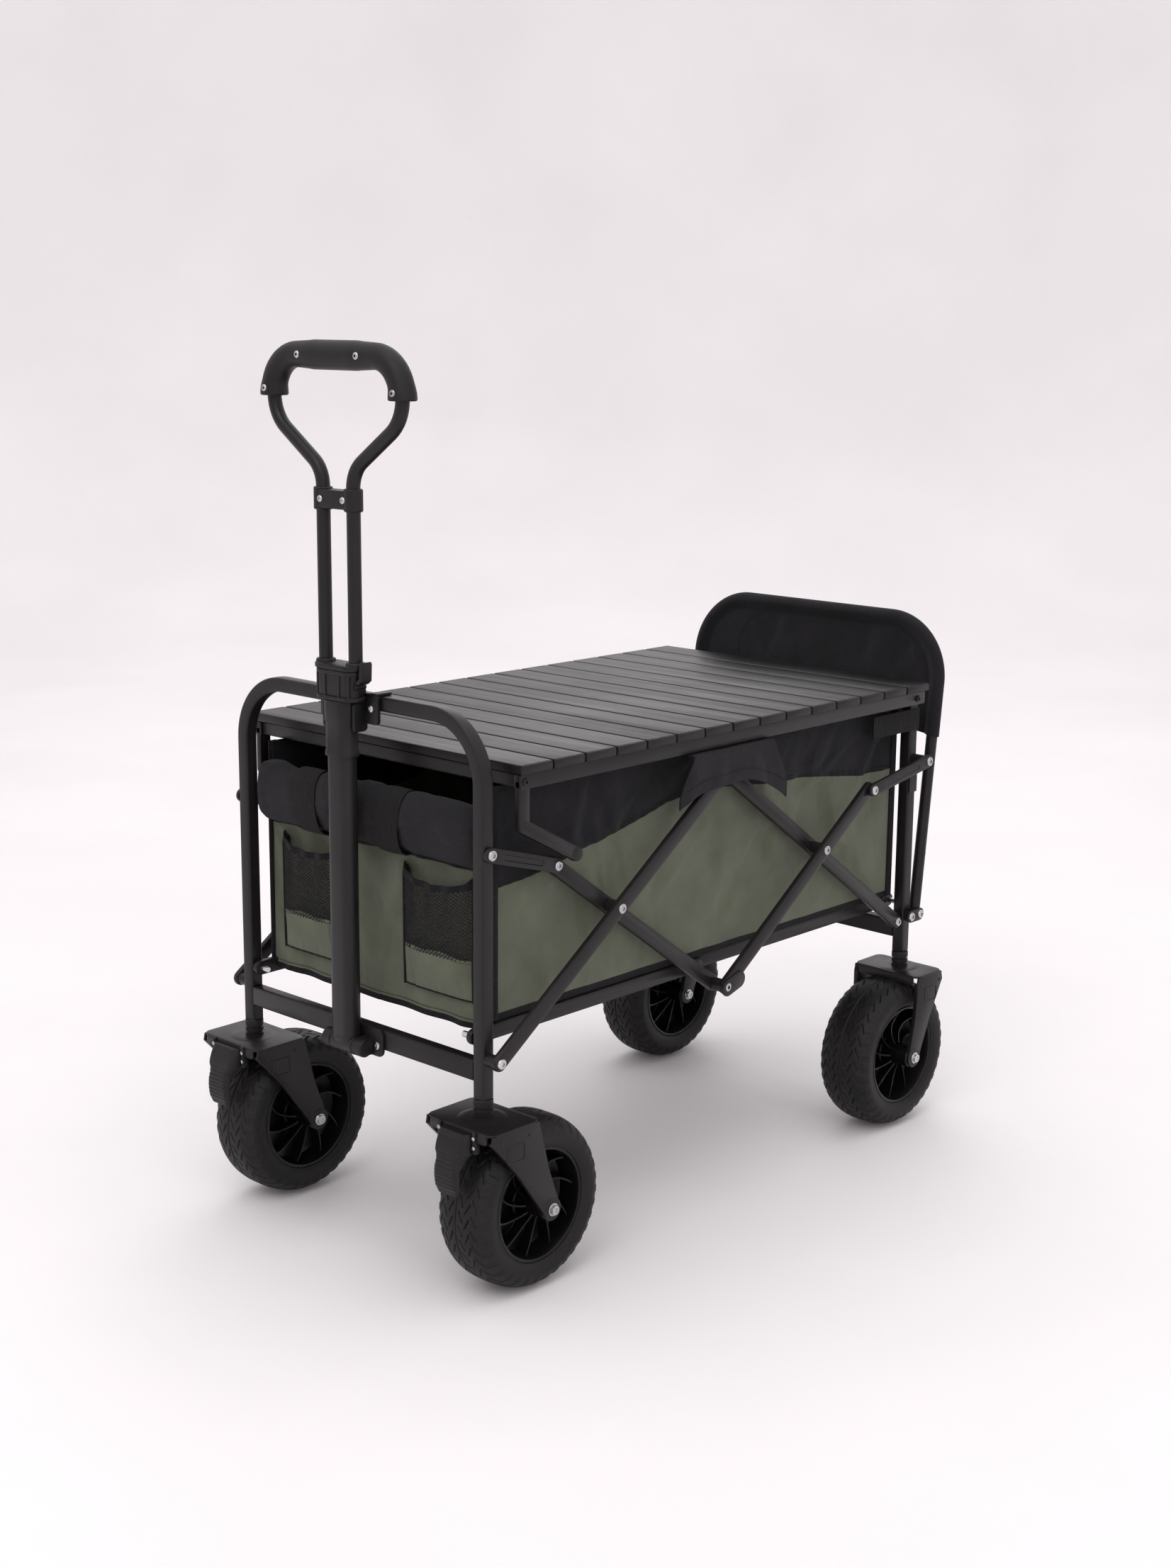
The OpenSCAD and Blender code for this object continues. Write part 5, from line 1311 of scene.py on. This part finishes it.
def make_pockets(look):
    """Two pockets: an olive pouch below, a knotted net above it, and an elastic binding that sags between two
    tabs. Each strand of the net runs diagonally over the pocket's bulge."""
    low, high = extent("front_pockets")
    inner, outer = 56 * MM, high[1]
    wide, split = outer - inner, low[2] + 55 * MM
    base = low[0] + 0.4 * MM
    top = high[2] - 10 * MM

    def bulge(u, z):
        """How far the pocket stands off the wall, across (0 to 1) and up."""
        rise = np.clip((z - low[2]) / (high[2] - low[2]), 0, 1)
        cross = np.clip(1 - np.abs(2 * u - 1) ** 3.2, 0, 1) ** 0.7
        folds = 0.12 * np.sin(2 * np.pi * 4 * u + 1.2) * ease(rise, 0.4, 0.9) \
            + 0.03 * np.sin(2 * np.pi * 9 * u) * (1 - ease(rise, 0.0, 0.2))
        return (high[0] - base - 2.2 * MM) * cross * (0.3 + 0.7 * ease(rise, -0.05, 0.35)) * (0.86 + folds)

    def rim(u):
        """Height of the elastic's lower edge across the pocket."""
        return top - 11 * MM * np.sin(np.pi * u) ** 0.8

    for side in SIDES:
        end = END[side]

        def on(u, z, lift=0.0):
            """A point of the pocket, across and up, lifted off its cloth."""
            return np.stack(np.broadcast_arrays(base + bulge(u, z) + lift, side * (inner + u * wide), z), -1)

        u = np.linspace(0, 1, 73)[None, :]
        t = np.linspace(0, 1, 42)[:, None]
        hem_z = split + 4 * MM * np.sin(np.pi * u) + 1.5 * MM * np.sin(4 * np.pi * u)
        z = low[2] + (hem_z - low[2]) * t
        pleat = -3.2 * MM * np.exp(-((u - 0.16) / 0.025) ** 2) * (1 - 0.4 * t) \
            + 2 * MM * np.exp(-((u - 0.2) / 0.02) ** 2)
        grid = on(u, z, pleat * np.sin(np.pi * np.clip(u, 0.02, 0.98))
                  + 0.4 * MM * ripple(u * 3, t, 41, 5, 3, 12))
        paint = np.zeros((41, 72), int)
        paint[:2] = 1
        shape = Shape()
        slab(shape, grid if side < 0 else grid[:, ::-1], 1.3 * MM, paint, 1)
        stitches(shape, grid[-4], 3.6 * MM, 0.35 * MM, (0.3 * MM, 0, 0), 1)
        for edge in (0.004, 0.996):
            z = np.linspace(low[2], top, 40)
            sweep(shape, on(np.full(40, edge), z, 1.4 * MM), circle(1.9 * MM, 8), (0, 1, 0), paint=1)
        z = np.linspace(0, 1, 7)[:, None]
        high_edge = rim(u) + (9 + 5 * np.exp(-(np.minimum(u, 1 - u) / 0.05) ** 2)) * MM
        grid = on(u, rim(u) + (high_edge - rim(u)) * z, (0.9 + 0.5 * np.sin(np.pi * z)) * MM)
        grid[..., 0] += 0.12 * MM * np.sin(u * 2 * np.pi * 19) * np.sin(np.pi * z)
        slab(shape, grid if side < 0 else grid[:, ::-1], 2.2 * MM, 1)
        for share in (0.03, 0.97):
            mid = side * (inner + wide * share)
            tab = np.array([(mid - 7 * MM, top - 3 * MM), (mid + 7 * MM, top - 3 * MM),
                            (mid + 5.5 * MM, top + 7 * MM), (mid, high[2] + 1 * MM),
                            (mid - 5.5 * MM, top + 7 * MM)])
            plate(shape, tab, "x", base - 0.6 * MM, base + 2.2 * MM, 0.6 * MM, 1)
        shape.build(f"pocket_{end}", [FINISH["olive"], FINISH["binding"]], "front_frame", "fabric_olive",
                    ["front_pockets"] if side > 0 else [], 50)

        strands, steps, pitch, slope = [], 26, look.net, 0.12
        count = int((wide + slope) / pitch)
        starts = (np.arange(count) * pitch - slope)[:, None]
        run = np.linspace(0, 1, steps)[None, :]
        for way in SIDES:
            begin = starts if way > 0 else starts + slope
            across = (begin + way * run * slope) / wide
            bottom = split - 2 * MM
            up = bottom + run * (rim(np.clip(across, 0, 1)) + 2 * MM - bottom)
            wiggle = 0.1 * pitch * np.sin(run * 2 * np.pi * slope / pitch)
            line = on(np.clip(across + wiggle / wide, 0.005, 0.995), up, 0.2 * MM * way - 0.2 * MM)
            keep = (across >= 0) & (across <= 1)
            strands += [row[k] for row, k in zip(line, keep) if k.sum() > 2]
        net = Shape()
        fine = np.array([(-1, -0.5), (1, -0.5), (1, 0.5), (-1, 0.5)]) * 0.62 * MM
        for line in strands:
            flat = unit(np.cross(unit(np.gradient(line, axis=0)), [1.0, 0, 0]))
            grid = line[:, None] + flat[:, None] * fine[None, :, :1] + np.array([1.0, 0, 0]) * fine[None, :, 1:]
            rows = len(line)
            net.add(grid, grid_quads(rows, 4, wrap_cols=True), caps=(range(4), range(rows * 4 - 4, rows * 4)))
        net.build(f"pocket_net_{end}", FINISH["net"], "front_frame", "fabric_black")


def make_side_walls(look):
    """Both side walls, each with the flap that drapes over the middle.

    A wall is a plane moved by ripples, folds from its top corners and the middle joint, creases, and puckers
    along the seam; all but the puckers fade to its borders. The flap runs out from the wall's top and then
    down: the length of that way is one parameter, and its hem drops further towards both sides."""
    low, high = extent("side_panel_left")
    x0, x1 = extent("rear_panel")[0][0] + 1 * MM, CLOTH_ANCHOR
    cols = 321
    x = np.linspace(x0, x1, cols)
    rows, paint = banded(low[2], high[2], seam_height(x), OLIVE_ROWS, BLACK_ROWS)
    flat_y = SKIN - 1.2 * MM
    for side in SIDES:
        end = END[side]
        seed = 51 if side > 0 else 61
        up = (rows - low[2]) / (high[2] - low[2])
        hang = np.sin(np.pi * np.clip(up, 0, 1)) ** 0.6
        ends = ease(np.minimum(x - x0, x1 - x), 0.0, 0.05)[None, :]
        wave = ripple(x[None, :] * 1.6, rows * 0.45, seed, 9, 14, 60) \
            + 0.9 * fold_fan(x[None, :], rows, (x1, high[2]), 8, 0.16, 0.3) \
            + 0.9 * fold_fan(x[None, :], rows, (x0, high[2]), 8, 0.16, 1.1) \
            + 0.7 * fold_fan(x[None, :], rows, (TOP[0], high[2]), 12, 0.14, 0.9)
        pucker = 0.5 * MM * np.sin(x * 2 * np.pi / 0.017 + 3 * np.sin(x * 21)) \
            * np.exp(-((rows - seam_height(x)[None, :]) / 0.007) ** 2)
        crease = creases(x[None, :], rows, (x0, low[2]), (x1, high[2]), seed + 1, 60)
        y = flat_y - 2.5 * MM + (look.wrinkle * 1.7 * wave + 3.4 * MM * crease) * hang * ends + pucker
        y = np.clip(y, flat_y - 11 * MM, flat_y + 5.5 * MM)
        grid = np.stack([np.broadcast_to(x, rows.shape), side * y, rows], -1)
        shape = Shape()
        slab(shape, grid[:, ::side], 2.6 * MM, paint[:, None], 2)
        line = np.column_stack([x, side * y[SEAM_ROW] + side * 0.3 * MM, rows[SEAM_ROW]])
        stitches(shape, line[2:-2], lift=(0, 0, 2.5 * MM), paint=3)
        stitches(shape, line[2:-2], lift=(0, 0, 6.5 * MM), paint=3)
        for corner in (x0 + 2.5 * MM, x1 - 2.5 * MM):
            post = np.column_stack([np.full(60, corner), np.full(60, side * (flat_y - 1 * MM)),
                                    np.linspace(low[2], high[2], 60)])
            sweep(shape, post, box_profile(2.4 * MM, 13 * MM, 1 * MM, 3), (0, 1, 0), paint=2)
        out, top = high[1] - 0.6 * MM, high[2] - 0.6 * MM
        u = np.linspace(-1, 1, 91)[None, :]
        reach = 112 * MM
        drop = 47 * MM + np.where(u > 0, 20, 38) * MM * np.abs(u) ** 2.6 + 1.2 * MM * np.sin(u * 7)
        t = np.linspace(0, 1, 50)[:, None]
        bridge = out - flat_y
        s = t * (bridge + drop)
        across = np.clip(s, 0, bridge) + 0 * u
        down = np.maximum(s - bridge, 0)
        fold = 1.8 * look.wrinkle * ripple(u * 0.2 * 2.2, s * 0.5, seed + 3, 7, 20, 70) * ease(down, 0, 0.03)
        fy = flat_y + across + np.clip(fold - 0.8 * MM, -1.6 * MM, 1.6 * MM)
        fz = top - down + 0 * u
        fx = TOP[0] + u * reach * (0.74 + 0.26 * ease(down, -0.01, 0.06))
        flap_paint = np.ones((49, 90), int)
        flap_paint[:, [0, -1]] = 2
        grid = np.stack([fx, side * fy, fz], -1)
        slab(shape, grid[:, ::-side], 1.8 * MM, flap_paint, 2)
        stitches(shape, grid[-9, 3:-3], lift=(0, side * 0.4 * MM, 0), paint=3)
        wall = shape.build(f"side_wall_{end}", wall_finishes(), "front_frame", "fabric_olive",
                           [f"side_panel_{end}"], 50)
        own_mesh(wall)


def make_rear_fabric(look):
    """The rear wall, the black flap over the tail hoop, the webbing loops and rubber clips on the rear posts.

    The flap is a front and a back sheet. Each point's depth inside the hoop's outer border sets how far the two
    stand apart: round the tube they follow its circle, and past it they ease together to taut cloth."""
    low, high = extent("rear_panel")
    half = high[1] + 16 * MM
    y = np.linspace(-half, half, 161)
    seam = SEAM + 3 * MM * np.sin(y * 11)
    rows, paint = banded(low[2], high[2], seam, OLIVE_ROWS, BLACK_ROWS)
    wave = ripple(y[None, :] * 1.8, rows * 0.5, 71, 8, 14, 60) \
        + 0.8 * fold_fan(y[None, :], rows, (half, high[2]), 9, 0.12, 0.2) \
        + 0.8 * fold_fan(y[None, :], rows, (-half, high[2]), 9, 0.12, 2.2)
    hang = np.sin(np.pi * np.clip((rows - low[2]) / (high[2] - low[2]), 0, 1)) ** 0.6
    crease = creases(y[None, :], rows, (-half, low[2]), (half, high[2]), 72, 36)
    x = low[0] + 0.8 * MM + np.clip((look.wrinkle * 1.6 * wave + 2.6 * MM * crease) * hang, -4 * MM, 6 * MM)
    grid = np.stack([x, np.broadcast_to(y, rows.shape), rows], -1)
    shape = slab(Shape(), grid, 2.4 * MM, paint[:, None], 2)
    stitches(shape, grid[SEAM_ROW], lift=(-0.3 * MM, 0, 2.5 * MM), paint=3)
    wall = shape.build("rear_wall", wall_finishes(), "rear_frame", "fabric_olive", ["rear_panel"], 50)

    gate = JOINTS["tailgate"]["pos_m"]
    lean = TAIL_LEAN
    top = (extent("tail_flap")[1][2] - gate[2]) / math.cos(lean) - 11 * MM
    tube, span = 8.5 * MM, 231 * MM
    corner = 92 * MM

    def leaned(y, s, off):
        """From the tail hoop's own plane to the cart's frame: s runs up the hoop, off stands out behind it."""
        return np.stack(np.broadcast_arrays(gate[0] - s * math.sin(lean) - off * math.cos(lean), y,
                                            gate[2] + s * math.cos(lean) - off * math.sin(lean)), -1)

    left = np.vstack([[span, 0], [span, 6 * MM], arc((span - corner, top - corner), corner, 0, 90, 22)])
    whole = np.vstack([left, (left * [-1, 1])[::-1]])
    side_way = leaned(0, 0, 1.0) - leaned(0, 0, 0.0)
    shape = Shape()
    sweep(shape, leaned(whole[:, 0], whole[:, 1], 0.0), circle(tube, 24), side_way)
    for side in SIDES:
        spacer(shape, gate[0], gate[2], side * (span - 7 * MM), side * (span + 8.6 * MM), 9.4 * MM)
        middle = leaned(side * span, 0.62 * 0.155, tube * 0.6)
        block(shape, middle - [5 * MM, 5 * MM, 7 * MM], middle + [4 * MM, 5 * MM, 7 * MM], 3 * MM, 1.4 * MM)
    shape.build("tail_hoop_tube", FINISH["powder"], "tailgate", "frame_paint", ["tail_hoop"])

    cover = tube + 2.3 * MM
    base = 294.4 * MM - 22 * MM
    edge_half, edge_top, edge_r = span + cover, top + cover, corner + cover
    rise = np.column_stack([np.full(26, edge_half), np.linspace(base, edge_top - edge_r, 26)])
    bow = arc((edge_half - edge_r, edge_top - edge_r), edge_r, 0, 90, 34)[1:]
    flat = np.column_stack([np.linspace(edge_half - edge_r, 0, 26)[1:], np.full(25, edge_top)])
    outline = np.vstack([rise, bow, flat])
    outline = np.vstack([outline, (outline * [-1, 1])[::-1][1:]])
    spine_top = edge_top - 70 * MM
    hemline = base + 30 * MM
    tall = (outline[:, 1] - base) / (edge_top - base)
    spine = np.column_stack([0 * tall, hemline + (spine_top - hemline) * np.clip(tall / 0.35, 0, 1)])
    t = (np.linspace(0, 1, 54) ** 1.8)[:, None, None]
    place = outline[None] + (spine - outline)[None] * t
    py, ps = place[..., 0], place[..., 1]
    qy, qs = np.abs(py) - (edge_half - edge_r), ps - (edge_top - edge_r)
    outside = np.hypot(np.maximum(qy, 0), np.maximum(qs, 0)) + np.minimum(np.maximum(qy, qs), 0) - edge_r
    depth = np.maximum(-outside, 0)
    around = np.sqrt(np.clip(cover ** 2 - (cover - depth) ** 2, 0, None))
    cloth, seam_in = 1.7 * MM, 15 * MM
    taut = cloth + (cover - cloth) * (1 - ease(depth, cover, cover + seam_in))
    thick = np.where(depth < cover, around, taut)
    thick = thick - 0.9 * MM * np.exp(-((depth - cover - seam_in) / 0.0016) ** 2)
    inside = ease(depth, cover + 6 * MM, cover + 30 * MM)
    wave = look.wrinkle * (1.6 * ripple(py * 1.7, ps * 1.2, 83, 8, 14, 60)
                           + fold_fan(py, ps, (edge_half, base), 9, 0.12, 0.6)
                           + fold_fan(py, ps, (-edge_half, base), 9, 0.12, 0.6)) * inside \
        + 1.8 * MM * creases(py, ps, (-edge_half, base), (edge_half, edge_top), 84, 14) * inside
    front, back = leaned(py, ps, wave - thick), leaned(py, ps, wave + thick)
    rows, cols = py.shape
    quads, size = grid_quads(rows, cols), rows * cols
    index = np.arange(size).reshape(rows, cols)
    strips = [np.stack([c[:-1], c[1:], c[1:] + size, c[:-1] + size], -1) for c in (index[:, 0], index[:, -1])]
    uv = np.stack([py, ps], -1)
    shape = Shape().add(np.stack([front, back]), np.vstack([quads, quads[:, ::-1] + size] + strips),
                        np.stack([uv, uv]))
    line = np.argmin(np.abs(depth[:, cols // 2] - cover - seam_in))
    stitches(shape, back[line, 2:-2], lift=tuple(side_way * 0.2 * MM), paint=1)
    stitches(shape, front[line, 2:-2], lift=tuple(-side_way * 0.2 * MM), paint=1)
    shape.build("tail_flap_canvas", [FINISH["black"], FINISH["net"]], "tailgate", "fabric_black",
                ["tail_flap"], 60)

    shape = Shape()
    back_x, front_x = REAR_X - TUBE / 2, REAR_X + TUBE / 2
    gap = 1.4 * MM
    for side in SIDES:
        flat = np.vstack([[extent("gate_straps")[1][0], POST_OUT + gap], [front_x + 20 * MM, POST_OUT + gap],
                          [front_x, POST_OUT + gap],
                          arc((back_x + 2 * MM, POST_OUT - 2 * MM), 2 * MM + gap, 90, 180, 8),
                          arc((back_x + 2 * MM, POST_IN + 2 * MM), 2 * MM + gap, 180, 262, 8)])
        path = np.column_stack([flat[:, 0], side * flat[:, 1], np.full(len(flat), STRAP_MID)])
        sweep(shape, path, box_profile(STRAP_WIDE, 1.9 * MM, 0.8 * MM, 3), (0, 0, 1))
        path[:, 2] = CLIP_MID
        sweep(shape, path[2:-4], box_profile(STRAP_WIDE, 2.4 * MM, 1 * MM, 3), (0, 0, 1), paint=1)
        near, far = pair(side, POST_IN + 3 * MM, POST_OUT - 3 * MM)
        block(shape, (back_x - 6.5 * MM, near, 513 * MM), (back_x - 1 * MM, far, 542 * MM),
              3 * MM, 1.4 * MM, "x", 1)
    shape.build("gate_strap_loops", [FINISH["webbing"], FINISH["plastic"]], "rear_frame", "webbing",
                ["gate_straps"], 50)


def make_liner():
    """The floor's fabric: a plane raised by quilting, which is the product of the roots of two sines, and by
    ripples, both fading to its border."""
    low, high = extent("floor_liner")
    x = np.linspace(low[0] + 1 * MM, high[0] - 1 * MM, 181)
    y = np.linspace(low[1] + 1 * MM, high[1] - 1 * MM, 101)
    gx, gy = np.meshgrid(x, y, indexing="ij")
    rim = np.minimum(np.minimum(gx - low[0], high[0] - gx), np.minimum(gy - low[1], high[1] - gy))
    quilt = 1.2 * MM * np.abs(np.sin(gx * np.pi / 0.14)) ** 0.5 \
        * np.abs(np.sin((gy + 0.2) * np.pi / 0.1)) ** 0.5
    z = high[2] - 1.2 * MM + quilt * ease(rim, 0, 0.02) \
        + 0.8 * MM * ripple(gx, gy, 91, 7, 14, 60) * ease(rim, 0, 0.03)
    liner = slab(Shape(), np.stack([gx, gy, z], -1), 2.6 * MM).build(
        "floor_liner_cloth", FINISH["black"], "front_frame", "fabric_black", ["floor_liner"], 60)
    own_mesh(liner)


# ---------------------------------------------------------------- stage
CAMERA_PLACE = (2.2258, 2.0353, 1.2088)
CAMERA_FORWARD = (-0.7173, -0.6638, -0.2119)
CAMERA_ROLL = 0.0085
CAMERA_LENS, CAMERA_SENSOR, CAMERA_NEAR = 49.76, 36, 0.05
SURROUND_STRENGTH = 1.22
AIMED_AT = (0, 0, 0.5)
LIGHTS = (
    ("key_light", (3.2, 1.2, 4.2), 3.0, 1.0, (1.0, 0.985, 0.965)),
    ("fill_light", (1.6, 4.6, 2.4), 3.6, 0.55, (0.97, 0.985, 1.0)),
    ("far_light", (-3.6, -3.0, 3.4), 3.0, 0.6, (1.0, 1.0, 1.0)),
    ("top_light", (0.0, 0.0, 4.6), 4.4, 0.8, (1.0, 1.0, 1.0)),
)


def make_stage(power):
    """A pale floor, turned from a profile that is flat and then curves up into a wall all round, with soft
    lights, a pale surround and the camera."""
    tree = Tree("pale_floor")
    where = tree.place()
    clouds = tree.noise(where, 1.4, 4.0)
    speck = tree.noise(where, 260.0, 2.0)
    tree.shade(Base_Color=tree.mixed(tree.span(clouds, 0, 1), linear("#e6e3e4"), linear("#ece9ea")),
               Roughness=tree.span(speck, 0.75, 0.85), Normal=tree.bump(speck, 0.0002, 0.3))
    curve = arc((4.6, 2.4), 2.4, -90, 0, 24)
    profile = np.vstack([[[0, -0.0005], [2.2, -0.0005]], curve - [0, 0.0005], [[7.0, 5.2]]])
    shape = turned(Shape(), profile, (0, 0, 0), "z", 96)
    shape.caps = []
    floor = shape.build("studio_floor", tree.material)
    floor.data.flip_normals()
    for name, place, size, share, colour in LIGHTS:
        data = bpy.data.lights.new(name, "AREA")
        data.shape, data.size, data.energy, data.color = "DISK", size, power * share, colour
        light = bpy.data.objects.new(name, data)
        light.location = place
        light.rotation_euler = (Vector(AIMED_AT) - Vector(place)).to_track_quat("-Z", "Y").to_euler()
        bpy.context.scene.collection.objects.link(light)
    world = bpy.data.worlds.new("pale_surround")
    world.use_nodes = True
    world.node_tree.nodes["Background"].inputs["Color"].default_value = linear("#f1eff0")
    world.node_tree.nodes["Background"].inputs["Strength"].default_value = SURROUND_STRENGTH
    bpy.context.scene.world = world
    bpy.context.scene.view_settings.view_transform = "Standard"
    data = bpy.data.cameras.new("studio_camera")
    data.lens, data.sensor_width, data.clip_start = CAMERA_LENS, CAMERA_SENSOR, CAMERA_NEAR
    camera = bpy.data.objects.new("studio_camera", data)
    forward = Vector(CAMERA_FORWARD).normalized()
    turn = forward.to_track_quat("-Z", "Y").to_matrix() @ Matrix.Rotation(CAMERA_ROLL, 3, "Z")
    camera.matrix_world = Matrix.Translation(CAMERA_PLACE) @ turn.to_4x4()
    bpy.context.scene.collection.objects.link(camera)
    bpy.context.scene.camera = camera


# ---------------------------------------------------------------- add-on
class BeachCartLook(bpy.types.PropertyGroup):
    """Sizes and colours of the cart's soft parts."""

    wrinkle: bpy.props.FloatProperty(name="Wrinkle depth", description="How far the cloth's wrinkles stand out",
                                     default=0.0019, min=0.0, max=0.004, unit="LENGTH")
    strap: bpy.props.FloatProperty(name="Strap width", description="Width of the webbing over the front roll",
                                   default=0.043, min=0.02, max=0.06, unit="LENGTH")
    net: bpy.props.FloatProperty(name="Net pitch", description="Distance between strands of the pocket nets",
                                 default=0.0062, min=0.004, max=0.02, unit="LENGTH")
    olive_dark: bpy.props.FloatVectorProperty(
        name="Olive, dark", description="The canvas in its darker clouds",
        default=(0.083, 0.092, 0.062), size=3, min=0, max=1, subtype="COLOR")
    olive_light: bpy.props.FloatVectorProperty(
        name="Olive, light", description="The canvas in its lighter clouds",
        default=(0.128, 0.14, 0.098), size=3, min=0, max=1, subtype="COLOR")


class BeachCartStudio(bpy.types.PropertyGroup):
    """Settings of the studio round the cart."""

    power: bpy.props.FloatProperty(name="Light power", description="Power of the main area light",
                                   default=46.0, min=1.0, max=2000.0, unit="POWER")


def looks():
    """The settings, with every finish made the first time that they are asked for."""
    look = bpy.context.scene.beach_cart_look
    if not FINISH:
        make_finishes(look)
    return look


class BEACHCART_OT_frame(bpy.types.Operator):
    """Front hoop, rear posts, cross bars, floor and every frame screw"""
    bl_idname = "beach_cart.frame"
    bl_label = "Frame and Floor"

    def execute(self, context):
        looks()
        make_front_frame()
        make_rear_frame()
        make_frame_screws()
        make_floor()
        return {"FINISHED"}


class BEACHCART_OT_scissors(bpy.types.Operator):
    """Scissor bars and links on both sides"""
    bl_idname = "beach_cart.scissors"
    bl_label = "Scissors"

    def execute(self, context):
        looks()
        make_scissors()
        return {"FINISHED"}


class BEACHCART_OT_handle(bpy.types.Operator):
    """Pull handle with its bracket, tube, collar, lever and grip"""
    bl_idname = "beach_cart.handle"
    bl_label = "Handle"

    def execute(self, context):
        looks()
        make_handle()
        return {"FINISHED"}


class BEACHCART_OT_table(bpy.types.Operator):
    """Slatted table top with rails and legs"""
    bl_idname = "beach_cart.table"
    bl_label = "Table"

    def execute(self, context):
        looks()
        make_table()
        return {"FINISHED"}


class BEACHCART_OT_casters(bpy.types.Operator):
    """Four casters with tyres, rims, forks and two foot brakes"""
    bl_idname = "beach_cart.casters"
    bl_label = "Casters"

    def execute(self, context):
        looks()
        for where in ("front", "rear"):
            for side in SIDES:
                corner = f"{where}_{END[side]}"
                make_tyre(f"tyre_{corner}", f"wheel_{corner}")
                make_rim(f"rim_{corner}", f"wheel_{corner}")
                make_fork(where, side)
        for side in SIDES:
            make_pedal(side)
        return {"FINISHED"}


class BEACHCART_OT_front_fabric(bpy.types.Operator):
    """Front wall, padded roll with straps, and pockets"""
    bl_idname = "beach_cart.front_fabric"
    bl_label = "Front Fabric"

    def execute(self, context):
        look = looks()
        make_front_fabric(look)
        make_pockets(look)
        return {"FINISHED"}


class BEACHCART_OT_side_fabric(bpy.types.Operator):
    """Side walls with centre flaps, and the floor liner"""
    bl_idname = "beach_cart.side_fabric"
    bl_label = "Side Fabric"

    def execute(self, context):
        look = looks()
        make_side_walls(look)
        make_liner()
        return {"FINISHED"}


class BEACHCART_OT_rear_fabric(bpy.types.Operator):
    """Rear wall, tail hoop with its flap, and the straps on the rear posts"""
    bl_idname = "beach_cart.rear_fabric"
    bl_label = "Rear Fabric"

    def execute(self, context):
        make_rear_fabric(looks())
        return {"FINISHED"}


class BEACHCART_OT_stage(bpy.types.Operator):
    """Floor, lights, surround and camera"""
    bl_idname = "beach_cart.stage"
    bl_label = "Stage"

    def execute(self, context):
        make_stage(context.scene.beach_cart_studio.power)
        return {"FINISHED"}


STEPS = (BEACHCART_OT_frame, BEACHCART_OT_scissors, BEACHCART_OT_handle, BEACHCART_OT_table,
         BEACHCART_OT_casters, BEACHCART_OT_front_fabric, BEACHCART_OT_side_fabric,
         BEACHCART_OT_rear_fabric, BEACHCART_OT_stage)


class BEACHCART_PT_panel(bpy.types.Panel):
    """Lists the settings and the cart's groups of pieces"""
    bl_idname = "BEACHCART_PT_panel"
    bl_label = "Beach Cart"
    bl_space_type = "VIEW_3D"
    bl_region_type = "UI"
    bl_category = "Beach Cart"

    def draw(self, context):
        layout = self.layout
        for name in ("wrinkle", "strap", "net", "olive_dark", "olive_light"):
            layout.prop(context.scene.beach_cart_look, name)
        layout.prop(context.scene.beach_cart_studio, "power")
        for step in STEPS:
            layout.operator(step.bl_idname)


CLASSES = (BeachCartLook, BeachCartStudio, *STEPS, BEACHCART_PT_panel)


def register():
    """Adds the classes, and the settings to every scene."""
    for cls in CLASSES:
        bpy.utils.register_class(cls)
    bpy.types.Scene.beach_cart_look = bpy.props.PointerProperty(type=BeachCartLook)
    bpy.types.Scene.beach_cart_studio = bpy.props.PointerProperty(type=BeachCartStudio)


def unregister():
    """Takes them away again."""
    del bpy.types.Scene.beach_cart_studio
    del bpy.types.Scene.beach_cart_look
    for cls in reversed(CLASSES):
        bpy.utils.unregister_class(cls)


def main():
    """Runs every operator in order."""
    register()
    for step in STEPS:
        group, name = step.bl_idname.split(".")
        if getattr(getattr(bpy.ops, group), name)() != {"FINISHED"}:
            raise RuntimeError(f"{step.bl_label} didn't finish")


if __name__ == "__main__":
    main()
